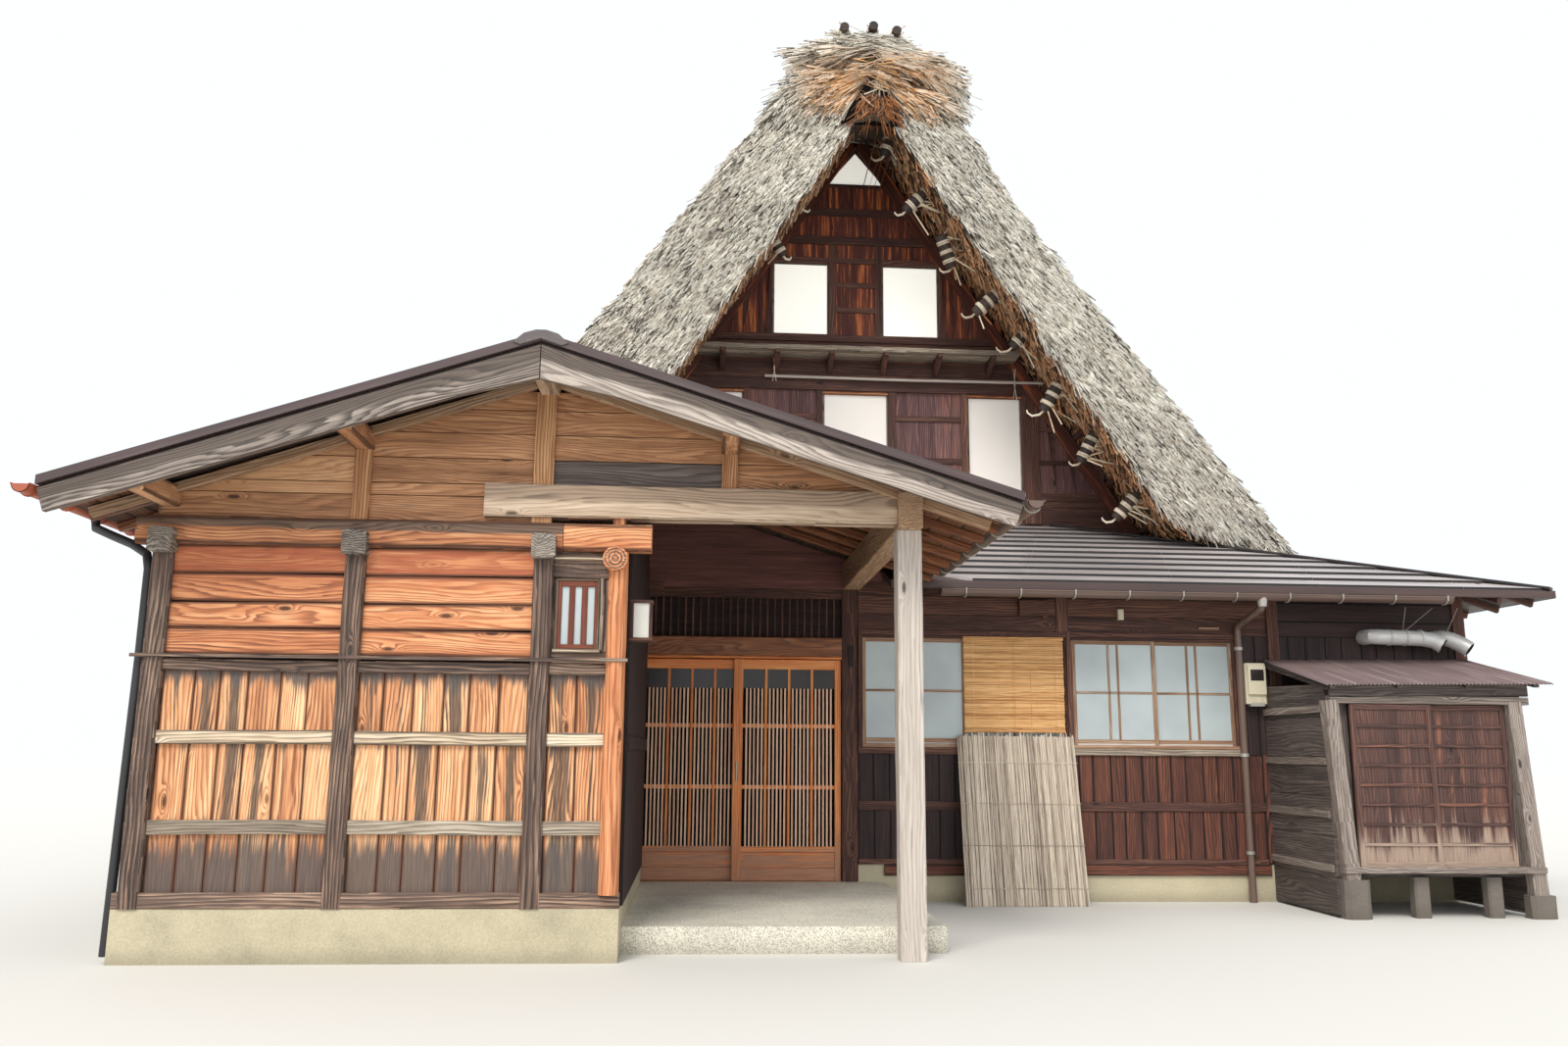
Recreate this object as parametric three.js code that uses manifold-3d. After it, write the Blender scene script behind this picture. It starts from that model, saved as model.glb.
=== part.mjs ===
// A steep thatched farmhouse with a metal lean-to roof, a gabled front wing and porch, and a shed.
// Millimetres. x runs right along the front, y runs back into the house, z is up.
// While the pieces are made, y = 0 is the face of the wing's front posts and z = 0 the lowest ground.

import * as THREE from 'three';
import { mergeVertices } from 'three/addons/utils/BufferGeometryUtils.js';
import Module from 'manifold-3d';

const wasm = await Module();
wasm.setup();

const GAP = 0.3;                 // joint between neighbouring pieces
const FAR = 30000;               // reach of cutting blocks
const TENON = 10;                // how far a member runs into the one it joins

// Main house plan
const CENTRE_X = 1700;
const MAIN_FRONT = 2880;
const CORE_FRONT = 5700;
const CORE_LENGTH = 7300;
const CORE_BACK = CORE_FRONT + CORE_LENGTH;
const CENTRE_Y = (CORE_FRONT + CORE_BACK) / 2;
const MAIN_BACK = 2 * CENTRE_Y - MAIN_FRONT;
const MAIN_HALF_WIDTH = 4985;
const MAIN_LEFT = CENTRE_X - MAIN_HALF_WIDTH;
const MAIN_RIGHT = CENTRE_X + MAIN_HALF_WIDTH;
const WALL = 120;
const FLOOR = 300;
const HALL_FLOOR = 160;
const HALL_DEPTH = 2100;

// Lean-to roof round the main house
const EAVE_OVERHANG = 500;
const EAVE_HEIGHT = 2580;
const LEAN_TO_SLOPE = 0.33;
const ROOF_SKIN = 60;
const UNDERLAY_REACH = 500;      // how far the wing's roof is trimmed past the main house's upper wall
const EAVE_FRONT = MAIN_FRONT - EAVE_OVERHANG;
const EAVE_BACK = MAIN_BACK + EAVE_OVERHANG;
const EAVE_LEFT = MAIN_LEFT - EAVE_OVERHANG;
const EAVE_RIGHT = MAIN_RIGHT + EAVE_OVERHANG;
const LEAN_TO_RUN = CORE_FRONT - EAVE_FRONT;
const WALL_TOP = EAVE_HEIGHT + LEAN_TO_SLOPE * EAVE_OVERHANG - ROOF_SKIN - GAP;

// Front wing: a low gable whose ridge runs along y
const WING_LEFT = -3270;
const WING_RIGHT = -430;
const WING_WALL_LEFT = -3240;
const WING_SILL_TOP = 390;
const WING_HEAD_BOTTOM = 2390;
const WING_HEAD_TOP = 2560;
const WING_POSTS = [-3180, -2060, -945];
const WING_POST = 120;
const LOG_POST_X = -493;
const LOG_POST_RADIUS = 60;
const POST_DEPTH = 60;
const SHEET_BACK = 100;
const WING_RAILS = [[710, 790], [1220, 1300], [1640, 1706]];
const HEAD_BEAM_LEFT = -3350;
const HEAD_BEAM_RIGHT = -300;
const HEAD_BEAM_FRONT = -10;
const HEAD_BEAM_BACK = 110;
const BEAM_END_HALF = 80;
const BEAM_END_FRONT = -70;
const BEAM_END_BOTTOM = 2315;
const BEAM_END_TOP = 2490;
const LOG_END_X = LOG_POST_X - 17;
const LOG_END_Z = 2333;
const LOG_END_RADIUS = 75;
const LOG_END_FRONT = -110;
const LOG_END_BACK = 30;
const SLAT_WINDOW_LEFT = -865;
const SLAT_WINDOW_RIGHT = -606;
const SLAT_WINDOW_BOTTOM = 1785;
const SLAT_WINDOW_TOP = 2220;
const SIDE_BOARD = 60;
const SIDE_POST = 110;
const GABLE_BOARDS_FRONT = 60;
const GABLE_BOARDS_BACK = 110;
const STRUTS = [[-2114, -2015], [-1034, -913], [123, 220]];
const PURLIN_ENDS = [[-3240, -3130], [-2120, -2010], [118, 228]];
const PURLIN_HEIGHT = 125;
const RIDGE_PURLIN_LEFT = -1015;
const RIDGE_PURLIN_RIGHT = -895;
const RIDGE_PURLIN_BOTTOM = 3370;
const WING_RIDGE_X = -955;
const WING_RIDGE_TOP = 3578;
const WING_SLOPE_LEFT = 0.337;
const WING_SLOPE_RIGHT = 0.314;
const WING_EAVE_LEFT = -3700;
const WING_EAVE_RIGHT = 1898;
const VERGE_FRONT = -485;
const VERGE_BACK = -445;
const BARGEBOARD_DROP = 205;
const BARGEBOARD_CUT = 180;      // how far the board's foot leans in
const RIDGE_CAP_HALF = 160;
const RIDGE_CAP_THICKNESS = 30;
const RIDGE_CAP_BACK = 5150;
const PORCH_RIGHT = 1550;
const PORCH_FLOOR_FRONT = 310;
const PORCH_POST_LEFT = 1214;
const PORCH_POST_RIGHT = 1370;
const PORCH_BEAM_LEFT = -1320;
const PORCH_BEAM_TOP = 2800;
const PORCH_BEAM_DEPTH = 150;
const PORCH_SIDE_BEAM_FRONT = -60;
const WING_DOORWAY = [-2500, -1600];
const WING_DOORWAY_TOP = 2100;

// Entrance in the main front wall
const DOORWAY_LEFT = -492;
const DOORWAY_RIGHT = 1206;
const DOORWAY_TOP = 1967;
const DOOR_POST_LEFT = -612;
const DOOR_POST_RIGHT = 1340;
const TRANSOM_BOTTOM = 2149;
const TRANSOM_TOP = 2480;
const ENTRANCE_TOP = 2560;
const DOOR_WIDTH = 900;
const DOOR_THICKNESS = 33;
const CLEARANCE = 6;             // running room above and beside a sliding door
const TRACK = 6;
const RIGHT_DOOR_FRONT = MAIN_FRONT + 22;
const LEFT_DOOR_FRONT = MAIN_FRONT + 64;
const TRANSOM_BARS = 12;

// Window band in the main front wall
const WINDOW_BOTTOM = 1243;
const WINDOW_TOP = 2180;
const LEFT_WINDOW = [1365, 3130];
const RIGHT_WINDOW = [3168, 4611];
const WINDOW_PROUD = 18;
const BLIND = [2240, 3100];
const BLIND_BOTTOM = 1380;
const BLIND_TOP = 2175;
const SCREEN = [2166, 3172];
const SCREEN_TOP = 1370;
const SCREEN_FOOT_FRONT = 2560;
const SIDE_WINDOWS = [4600, 8500, 12400];
const BACK_WINDOWS = [-1900, 850, 3600];
const OTHER_WINDOW_WIDTH = 1700;
const PANE_LAP = 50;
const PANE = 15;

// Gutters and the fittings on the front wall
const GUTTER_RADIUS = 50;
const GUTTER_SHEET = 6;
const GUTTER_DROP = 30;          // from the eave's top edge to the gutter's rim
const GUTTER_PAST_VERGE = 90;
const MAIN_GUTTER_Z = 2503;
const MAIN_GUTTER_RIGHT = 6260;
const HANGER_FIRST = 2150;
const HANGER_STEP = 450;
const HANGERS = 10;
const PIPE_X = 4632;
const PIPE_RADIUS = 30;
const PIPE_OFF_WALL = 50;
const PIPE_TURN = 2300;
const METER = [4664.5, 4848.5];
const METER_BOTTOM = 1610;
const METER_TOP = 1985;
const METER_DEPTH = 112;
const FLUE_Y = 2740;

// Upper gable, heights along the steep roof measured from the house centre line
const SOFFIT_APEX = 8500;
const SOFFIT_SLOPE = 1.5;
const SOFFIT_ANGLE = Math.atan(SOFFIT_SLOPE);
const POLE_RADIUS = 40;
const RAFTER_TOP_DEPTH = 50;
const RAFTER_BOTTOM_DEPTH = 194.7;
const THATCH_CROWN_BOTTOM = 8150;
const PLATE_TOP = 3395;
const PLATE_BOTTOM = 3150;
const PLATE_OUTER = 3400;
const PLATE_INNER = 3050;
const GABLE_WALL = 60;
const THATCH_LIFT = 50;
const ATTIC_FLOOR = 5500;
const ATTIC_FLOOR_THICKNESS = 50;
const LOFT_BOARDS = 45;
const HATCH_FRONT = 7200;
const HATCH_LENGTH = 1200;
const HATCH_HALF_WIDTH = 450;
const CORE_POST_HALF = 100;
const SHELF_HALF_WIDTH = 1790;
const SHELF_FRONT = 5350;
const SHELF_BOTTOM = 5535;
const SHELF_TOP = 5590;
const SHELF_BRACKETS = [-1500, -900, -300, 300, 900, 1500];
const RAFTERS = 8;
const RAFTER_WIDTH = 120;
const POLE_ROWS = 9;
const POLE_FIRST = 3640;
const POLE_STEP = 530;
const POLE_FRONT = 5350;

// Window lights of the upper gable, as [left, right] from the centre line
const LOFT_LIGHTS = [[-1875, -1258], [-373, 362], [1258, 1875]];
const LOFT_SILL = 4050;
const LOFT_HEAD = 5170;
const ATTIC_LIGHTS = [[-946, -307], [300, 953]];
const ATTIC_SILL = 5820;
const ATTIC_HEAD = 6680;
const APEX_LIGHT_BASE = 7650;
const APEX_LIGHT_TOP = 8050;
const APEX_LIGHT_HALF = 335;
const GABLE_PANE = 12;
const GABLE_PANE_EDGE = [[2000, 3980], [1900, 5240], [1000, 6750], [420, 7600], [60, 8080]];

// Thatch, as [reach, z] measured from the centre line
const CROWN = [GAP / 2, 8440];
const THATCH_OUTER_LEFT = [[700, 8370], [4440, 3130]];
const THATCH_OUTER_RIGHT = [[800, 8100], [1750, 6550], [4440, 3005]];
const THATCH_LIPS = [
  { face: 4400, lip: 4150, apex: 7850, crown: 7625 },
  { face: 4800, lip: 4800, apex: 8000, crown: 7775 },
  { face: 5300, lip: 5300, apex: SOFFIT_APEX, crown: THATCH_CROWN_BOTTOM },
];
const RIDGE_UNDER = [[-700, 8371], [0, 8441], [800, 8101], [860, 8040]];
const RIDGE_OVER = [
  [880, 8180], [820, 8510], [400, 8680], [50, 8750], [-350, 8720], [-690, 8640], [-740, 8480],
];
const RIDGE_FRONT = 4330;
const RIDGE_POLES = [[-290, 8765], [20, 8790], [270, 8748]];
const RIDGE_POLE_RADIUS = 48;
const RIDGE_POLE_FRONT = 4290;

// Shed against the right of the front wall
const SHED_FRONT = 1780;
const SHED_SILL_TOP = 378;
const SHED_HEAD_BOTTOM = 1600;
const SHED_DOOR_LEFT = 5016;
const SHED_DOOR_RIGHT = 6284;
const SHED_DOOR_WIDTH = 650;
const SHED_ROOF_FRONT = 1700;
const SHED_ROOF_SKIN = 25;
const SHED_ROOF_LEFT = [4805, 4868];
const SHED_ROOF_RIGHT = [6620, 6685];
const SHED_ROOF_MIDDLE = 5733;
const SHED_ROOF_HEIGHT = 1750;
const SHED_POST_WIDTH = 110;
const SHED_POST_TOP = 1625;
const SHED_POSTS = [{ top: 4815, foot: 4910 }, { top: 6292, foot: 6365 }];
const SHED_SIDES = [4850, 6400];
const SHED_SIDE_THICKNESS = 40;
const SHED_FLOOR_TOP = 335;

const wingTop = (x) => {
  const slope = x < WING_RIDGE_X ? WING_SLOPE_LEFT : WING_SLOPE_RIGHT;
  return WING_RIDGE_TOP - slope * Math.abs(x - WING_RIDGE_X);
};
const wingUnder = (x) => wingTop(x) - ROOF_SKIN;
const leanTo = (inset) => EAVE_HEIGHT + LEAN_TO_SLOPE * inset;
const mirrored = (y) => 2 * CENTRE_Y - y;
const shedRoofTop = (x, y) =>
  SHED_ROOF_HEIGHT + 0.0135 * (x - SHED_ROOF_MIDDLE) + 0.2287 * (y - SHED_ROOF_FRONT);
const aroundWing = (piece) => cut(piece, [
  box(-FAR, FAR, -FAR, HEAD_BEAM_BACK + GAP, WING_HEAD_BOTTOM - GAP, FAR),
  box(-FAR, FAR, -FAR, SHEET_BACK + GAP, -FAR, FAR),
]);

// Half width of the steep roof at height z, on the line that lies depth mm inside the thatch's soffit
const steepReach = (z, depth) =>
  (SOFFIT_APEX - depth / Math.cos(SOFFIT_ANGLE) - z) / SOFFIT_SLOPE;

// Solids

function solid(geometry) {
  const bare = geometry.clone();
  bare.deleteAttribute('normal');
  bare.deleteAttribute('uv');
  const merged = mergeVertices(bare, 1e-3);
  return new wasm.Manifold(new wasm.Mesh({
    numProp: 3,
    vertProperties: new Float32Array(merged.attributes.position.array),
    triVerts: new Uint32Array(merged.index.array),
  }));
}

function box(x0, x1, y0, y1, z0, z1) {
  const geometry = new THREE.BoxGeometry(x1 - x0, y1 - y0, z1 - z0);
  geometry.translate((x0 + x1) / 2, (y0 + y1) / 2, (z0 + z1) / 2);
  return solid(geometry);
}

function outline(points) {
  return new THREE.Shape(points.map(([u, v]) => new THREE.Vector2(u, v)));
}

function extrude(points, depth) {
  return new THREE.ExtrudeGeometry(outline(points), { depth, bevelEnabled: false });
}

// An outline in x and z, drawn out along y
function acrossY(points, y0, y1) {
  const geometry = extrude(points, y1 - y0);
  geometry.rotateX(Math.PI / 2);
  geometry.translate(0, y1, 0);
  return solid(geometry);
}

// An outline in y and z, drawn out along x
function acrossX(points, x0, x1) {
  const geometry = extrude(points, x1 - x0);
  geometry.rotateX(Math.PI / 2);
  geometry.rotateZ(Math.PI / 2);
  geometry.translate(x0, 0, 0);
  return solid(geometry);
}

// A plan outline between two sloping surfaces
function slab(points, top, bottom) {
  const geometry = extrude(points, 1);
  const place = geometry.attributes.position;
  for (let i = 0; i < place.count; i += 1) {
    const x = place.getX(i);
    const y = place.getY(i);
    place.setZ(i, place.getZ(i) > 0.5 ? top(x, y) : bottom(x, y));
  }
  return solid(geometry);
}

function rod(from, to, radius, sides) {
  const start = new THREE.Vector3(...from);
  const end = new THREE.Vector3(...to);
  const along = end.clone().sub(start);
  const geometry = new THREE.CylinderGeometry(radius, radius, along.length(), sides);
  geometry.applyQuaternion(new THREE.Quaternion().setFromUnitVectors(
    new THREE.Vector3(0, 1, 0), along.clone().normalize()));
  geometry.translate(...start.add(end).multiplyScalar(0.5).toArray());
  return solid(geometry);
}

// Rings of equal length joined one after the other, with both ends closed
function loft(rings, flat) {
  const count = rings[0].length;
  const triangles = [];
  const cap = THREE.ShapeUtils.triangulateShape(flat.map(([u, v]) => new THREE.Vector2(u, v)), []);
  const last = (rings.length - 1) * count;
  for (const [a, b, c] of cap) {
    triangles.push(a, b, c);
    triangles.push(last + c, last + b, last + a);
  }
  for (let ring = 0; ring + 1 < rings.length; ring += 1) {
    for (let i = 0; i < count; i += 1) {
      const j = (i + 1) % count;
      const near = ring * count;
      const next = near + count;
      triangles.push(near + i, next + j, near + j);
      triangles.push(near + i, next + i, next + j);
    }
  }
  const geometry = new THREE.BufferGeometry();
  geometry.setAttribute('position', new THREE.Float32BufferAttribute(rings.flat(2), 3));
  geometry.setIndex(triangles);
  return solid(geometry);
}

function join(pieces) {
  return pieces.reduce((whole, piece) => whole.add(piece));
}

function cut(whole, tools) {
  return tools.reduce((rest, tool) => rest.subtract(tool), whole);
}

// Materials

const material = (color, roughness, metalness = 0) =>
  new THREE.MeshStandardMaterial({ color, roughness, metalness });
const orangeWood = material(0xa9622f, 0.7);
const greyWood = material(0x7d7266, 0.85);
const tanWood = material(0x9c7a55, 0.8);
const darkWood = material(0x3c2a22, 0.8);
const doorWood = material(0x9a5a2e, 0.6);
const thatchStraw = material(0xa79b88, 1);
const roofMetal = material(0x4b3b3a, 0.45, 0.6);
const copperMetal = material(0x8a4a34, 0.5, 0.5);
const silverMetal = material(0xa9abad, 0.4, 0.8);
const concrete = material(0xb3ab9c, 0.95);
const paperWhite = material(0xe9e7e0, 0.9);
const bambooReed = material(0xb58b45, 0.8);
const greyReed = material(0x7a6a58, 0.9);
const beigeMetal = material(0xcfc3a6, 0.5);

const house = new THREE.Group();
house.name = 'farmhouse';

function add(name, piece, finish) {
  const found = piece.getMesh();
  const geometry = new THREE.BufferGeometry();
  geometry.setAttribute('position', new THREE.Float32BufferAttribute(found.vertProperties, 3));
  geometry.setIndex([...found.triVerts]);
  geometry.computeVertexNormals();
  const mesh = new THREE.Mesh(geometry, finish);
  mesh.name = name;
  house.add(mesh);
}

// Foundations and floors

function addFoundations() {
  const ground = box(MAIN_LEFT, MAIN_RIGHT, MAIN_FRONT, MAIN_BACK, 0, FLOOR);
  const hall = box(
    DOOR_POST_LEFT - GAP, DOOR_POST_RIGHT + GAP, 0, MAIN_FRONT + HALL_DEPTH, HALL_FLOOR, FAR);
  add('main_foundation', cut(ground, [hall]), concrete);
  add('wing_foundation', box(WING_LEFT, WING_RIGHT, 0, MAIN_FRONT - GAP, 0, FLOOR), concrete);
  add('porch_floor', box(
    WING_RIGHT + GAP, PORCH_RIGHT, PORCH_FLOOR_FRONT, MAIN_FRONT - GAP, 0, HALL_FLOOR), concrete);
}

// Front wing

function addWingFrame() {
  const half = WING_POST / 2;
  const low = WING_SILL_TOP - TENON;
  const high = WING_HEAD_BOTTOM + TENON;
  const logFace = -5;
  const pieces = [
    box(WING_LEFT, WING_RIGHT, 0, POST_DEPTH, FLOOR + GAP, WING_SILL_TOP),
    box(
      HEAD_BEAM_LEFT, HEAD_BEAM_RIGHT, HEAD_BEAM_FRONT, HEAD_BEAM_BACK,
      WING_HEAD_BOTTOM, WING_HEAD_TOP - GAP),
    rod([LOG_POST_X, logFace, low], [LOG_POST_X, logFace, high], LOG_POST_RADIUS, 12),
    rod([LOG_END_X, LOG_END_FRONT, LOG_END_Z], [LOG_END_X, LOG_END_BACK, LOG_END_Z], LOG_END_RADIUS, 12),
  ];
  for (const x of WING_POSTS) {
    pieces.push(box(x - half, x + half, 0, POST_DEPTH, low, high));
    pieces.push(box(
      x - BEAM_END_HALF, x + BEAM_END_HALF, BEAM_END_FRONT, 0, BEAM_END_BOTTOM, BEAM_END_TOP));
  }
  add('wing_front_frame', join(pieces), greyWood);
}

function addWingBoards() {
  const half = WING_POST / 2 + GAP;
  const bays = [
    [WING_POSTS[0] + half, WING_POSTS[1] - half],
    [WING_POSTS[1] + half, WING_POSTS[2] - half],
    [WING_POSTS[2] + half, LOG_POST_X - LOG_POST_RADIUS - GAP],
  ];
  const top = WING_HEAD_BOTTOM - GAP;
  const boardFront = 40;
  const railFront = 10;
  const pieces = [
    box(WING_WALL_LEFT, WING_RIGHT, POST_DEPTH + GAP, SHEET_BACK, FLOOR + GAP, top),
  ];
  for (const [left, right] of bays) {
    pieces.push(box(left, right, boardFront, POST_DEPTH + TENON, WING_SILL_TOP + GAP, top));
    for (const [low, high] of WING_RAILS) {
      pieces.push(box(left, right, railFront, boardFront + TENON, low, high));
    }
  }
  const hole = box(
    SLAT_WINDOW_LEFT, SLAT_WINDOW_RIGHT, -FAR, FAR, SLAT_WINDOW_BOTTOM, SLAT_WINDOW_TOP);
  add('wing_front_boards', cut(join(pieces), [hole]), orangeWood);
}

function addSlattedWindow() {
  const rim = 25;
  const front = 30;
  const back = 90;
  const barHalf = 12;
  const bars = [-770.7, -700.3].map((x) => box(
    x - barHalf, x + barHalf, front + TENON, back - 5,
    SLAT_WINDOW_BOTTOM + rim - TENON, SLAT_WINDOW_TOP - rim + TENON));
  const frame = box(
    SLAT_WINDOW_LEFT + GAP, SLAT_WINDOW_RIGHT - GAP, front, back,
    SLAT_WINDOW_BOTTOM + GAP, SLAT_WINDOW_TOP - GAP);
  const light = box(
    SLAT_WINDOW_LEFT + rim, SLAT_WINDOW_RIGHT - rim, -FAR, back - TENON,
    SLAT_WINDOW_BOTTOM + rim, SLAT_WINDOW_TOP - rim);
  add('slatted_window', join([cut(frame, [light]), ...bars]), darkWood);
}

function addWingSides() {
  const front = SHEET_BACK + GAP;
  const back = MAIN_FRONT - GAP;
  const low = FLOOR + GAP;
  const leftTop = wingUnder(WING_WALL_LEFT) - GAP;
  const left = [box(WING_WALL_LEFT, WING_WALL_LEFT + SIDE_BOARD, front, back, low, leftTop)];
  const postHalf = WING_POST / 2;
  for (const y of [front + postHalf, (front + back) / 2, back - postHalf]) {
    left.push(box(WING_WALL_LEFT, WING_WALL_LEFT + SIDE_POST, y - postHalf, y + postHalf, low, leftTop));
  }
  add('wing_left_wall', aroundWing(join(left)), darkWood);
  const rightTop = WING_HEAD_TOP - GAP;
  const right = join([
    box(WING_RIGHT - SIDE_BOARD, WING_RIGHT, front, back, low, rightTop),
    box(WING_RIGHT - SIDE_POST, WING_RIGHT, back - WING_POST, back, low, rightTop),
  ]);
  add('wing_right_wall', aroundWing(right), darkWood);
}

function addWingGable() {
  const under = (x) => wingUnder(x) - GAP;
  const underBoth = (x0, x1) => Math.min(under(x0), under(x1));
  const overBeam = PORCH_BEAM_TOP + GAP;
  const right = WING_RIDGE_X + (under(WING_RIDGE_X) - overBeam) / WING_SLOPE_RIGHT;
  const boards = acrossY([
    [WING_WALL_LEFT, WING_HEAD_TOP],
    [PORCH_BEAM_LEFT - GAP, WING_HEAD_TOP],
    [PORCH_BEAM_LEFT - GAP, overBeam],
    [right, overBeam],
    [WING_RIDGE_X, under(WING_RIDGE_X)],
    [WING_WALL_LEFT, under(WING_WALL_LEFT)],
  ], GABLE_BOARDS_FRONT, GABLE_BOARDS_BACK);
  const struts = STRUTS.map(([x0, x1]) => box(
    x0, x1, 0, GABLE_BOARDS_FRONT + TENON,
    x1 < PORCH_BEAM_LEFT ? WING_HEAD_TOP : overBeam, underBoth(x0, x1)));
  const purlins = PURLIN_ENDS.map(([x0, x1]) => box(
    x0, x1, VERGE_BACK, GABLE_BOARDS_FRONT + TENON, underBoth(x0, x1) - PURLIN_HEIGHT, underBoth(x0, x1)));
  const purlinHole = box(
    RIDGE_PURLIN_LEFT - GAP, RIDGE_PURLIN_RIGHT + GAP, -FAR, FAR, RIDGE_PURLIN_BOTTOM - GAP, FAR);
  add('wing_gable_wall', cut(join([boards, ...struts, ...purlins]), [purlinHole]), tanWood);
  add('wing_ridge_purlin', box(
    RIDGE_PURLIN_LEFT, RIDGE_PURLIN_RIGHT, VERGE_BACK, MAIN_FRONT - GAP,
    RIDGE_PURLIN_BOTTOM, underBoth(RIDGE_PURLIN_LEFT, RIDGE_PURLIN_RIGHT)), tanWood);
}

// Everything that the wing's roof has to stay above, behind the main front wall
function leanToFrontUnderlay(left, front) {
  const back = CORE_FRONT + UNDERLAY_REACH;
  return acrossX([
    [front, 0],
    [back, 0],
    [back, leanTo(back - EAVE_FRONT) + GAP],
    [front, leanTo(front - EAVE_FRONT) + GAP],
  ], left, FAR);
}

function addWingRoof() {
  const hipAt = (y) => EAVE_LEFT + (y - EAVE_FRONT);
  const back = CORE_FRONT - GAP;
  const past = CORE_FRONT + UNDERLAY_REACH;
  const leftOfHip = slab([
    [-FAR, MAIN_FRONT + WALL],
    [hipAt(MAIN_FRONT + WALL), MAIN_FRONT + WALL],
    [hipAt(past), past],
    [-FAR, past],
  ], () => FAR, () => 0);
  const cuts = [
    leanToFrontUnderlay(-FAR, MAIN_FRONT + WALL),
    leanToFrontUnderlay(PORCH_RIGHT - GAP, EAVE_FRONT - GAP),
    leftOfHip,
  ];
  const half = (x0, x1) => cut(slab(
    [[x0, VERGE_BACK], [x1, VERGE_BACK], [x1, back], [x0, back]], wingTop, wingUnder), cuts);
  add('wing_roof_left', half(WING_EAVE_LEFT, WING_RIDGE_X - GAP / 2), roofMetal);
  add('wing_roof_right', half(WING_RIDGE_X + GAP / 2, WING_EAVE_RIGHT), roofMetal);
  const cap = (lift) => [WING_RIDGE_X - RIDGE_CAP_HALF, WING_RIDGE_X, WING_RIDGE_X + RIDGE_CAP_HALF]
    .map((x) => [x, wingTop(x) + lift]);
  add('wing_ridge_cap', acrossY(
    [...cap(RIDGE_CAP_THICKNESS), ...cap(GAP).reverse()], VERGE_FRONT, RIDGE_CAP_BACK), roofMetal);
}

function addBargeboards() {
  const peakDrop = BARGEBOARD_DROP + 40;
  const board = (side, eave) => {
    const toe = eave - side * BARGEBOARD_CUT;
    const peak = WING_RIDGE_X + side * GAP / 2;
    return acrossY([
      [eave, wingTop(eave)],
      [toe, wingTop(toe) - BARGEBOARD_DROP],
      [peak, WING_RIDGE_TOP - peakDrop],
      [peak, WING_RIDGE_TOP],
    ], VERGE_FRONT, VERGE_BACK - GAP);
  };
  add('bargeboard_left', board(-1, WING_EAVE_LEFT + 15), greyWood);
  add('bargeboard_right', board(1, WING_EAVE_RIGHT - 18), greyWood);
}

// A thin half-round trough along a line, open at the top
function trough(from, to) {
  const start = new THREE.Vector3(...from);
  const end = new THREE.Vector3(...to);
  const past = end.clone().sub(start).normalize().multiplyScalar(GUTTER_RADIUS);
  const inside = rod(
    start.clone().sub(past).toArray(), end.clone().add(past).toArray(), GUTTER_RADIUS - GUTTER_SHEET, 12);
  const hull = rod(from, to, GUTTER_RADIUS, 12);
  const lid = box(-FAR, FAR, -FAR, FAR, from[2], FAR);
  return cut(hull, [inside, lid]);
}

function addGutters() {
  const front = VERGE_BACK - GUTTER_PAST_VERGE;
  const leftX = WING_EAVE_LEFT - GUTTER_RADIUS - GAP;
  const leftZ = wingTop(WING_EAVE_LEFT) - GUTTER_DROP;
  add('wing_gutter_left', trough([leftX, front, leftZ], [leftX, MAIN_FRONT, leftZ]), copperMetal);
  const rightX = WING_EAVE_RIGHT + GUTTER_RADIUS + GAP;
  const rightZ = wingTop(WING_EAVE_RIGHT) - GUTTER_DROP;
  const mainY = EAVE_FRONT - GUTTER_RADIUS - GAP;
  const rightBack = mainY - GUTTER_RADIUS - 10;
  add('wing_gutter_right', trough([rightX, front, rightZ], [rightX, rightBack, rightZ]), roofMetal);
  const pipeY = MAIN_FRONT - PIPE_OFF_WALL;
  const under = MAIN_GUTTER_Z - GUTTER_RADIUS;
  const pipe = (from, to) => rod(from, to, PIPE_RADIUS, 10);
  const hangers = [];
  for (let i = 0; i < HANGERS; i += 1) {
    const x = HANGER_FIRST + HANGER_STEP * i;
    hangers.push(box(
      x - 8, x + 8, EAVE_FRONT - 14, EAVE_FRONT + 6,
      MAIN_GUTTER_Z - 20, EAVE_HEIGHT - ROOF_SKIN - GAP));
  }
  add('main_gutter', join([
    trough([rightX, mainY, MAIN_GUTTER_Z], [MAIN_GUTTER_RIGHT, mainY, MAIN_GUTTER_Z]),
    pipe([PIPE_X, mainY, under + 8], [PIPE_X, mainY, under - 80]),
    pipe([PIPE_X, mainY, under - 60], [PIPE_X, pipeY, PIPE_TURN - 30]),
    pipe([PIPE_X, pipeY, PIPE_TURN], [PIPE_X, pipeY, 0]),
    ...hangers,
  ]), roofMetal);
}

function addPorch() {
  add('porch_post', box(
    PORCH_POST_LEFT, PORCH_POST_RIGHT, 0, PORCH_BEAM_DEPTH, 0, WING_HEAD_TOP), greyWood);
  add('porch_beam', box(
    PORCH_BEAM_LEFT, PORCH_POST_LEFT - GAP, HEAD_BEAM_FRONT, HEAD_BEAM_FRONT + PORCH_BEAM_DEPTH,
    WING_HEAD_TOP, PORCH_BEAM_TOP),
  tanWood);
  add('porch_side_beam', box(
    PORCH_POST_LEFT, PORCH_POST_RIGHT, PORCH_SIDE_BEAM_FRONT, MAIN_FRONT - GAP,
    WING_HEAD_TOP + GAP, wingUnder(PORCH_POST_RIGHT) - GAP), tanWood);
}

// Main front wall and entrance

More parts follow.
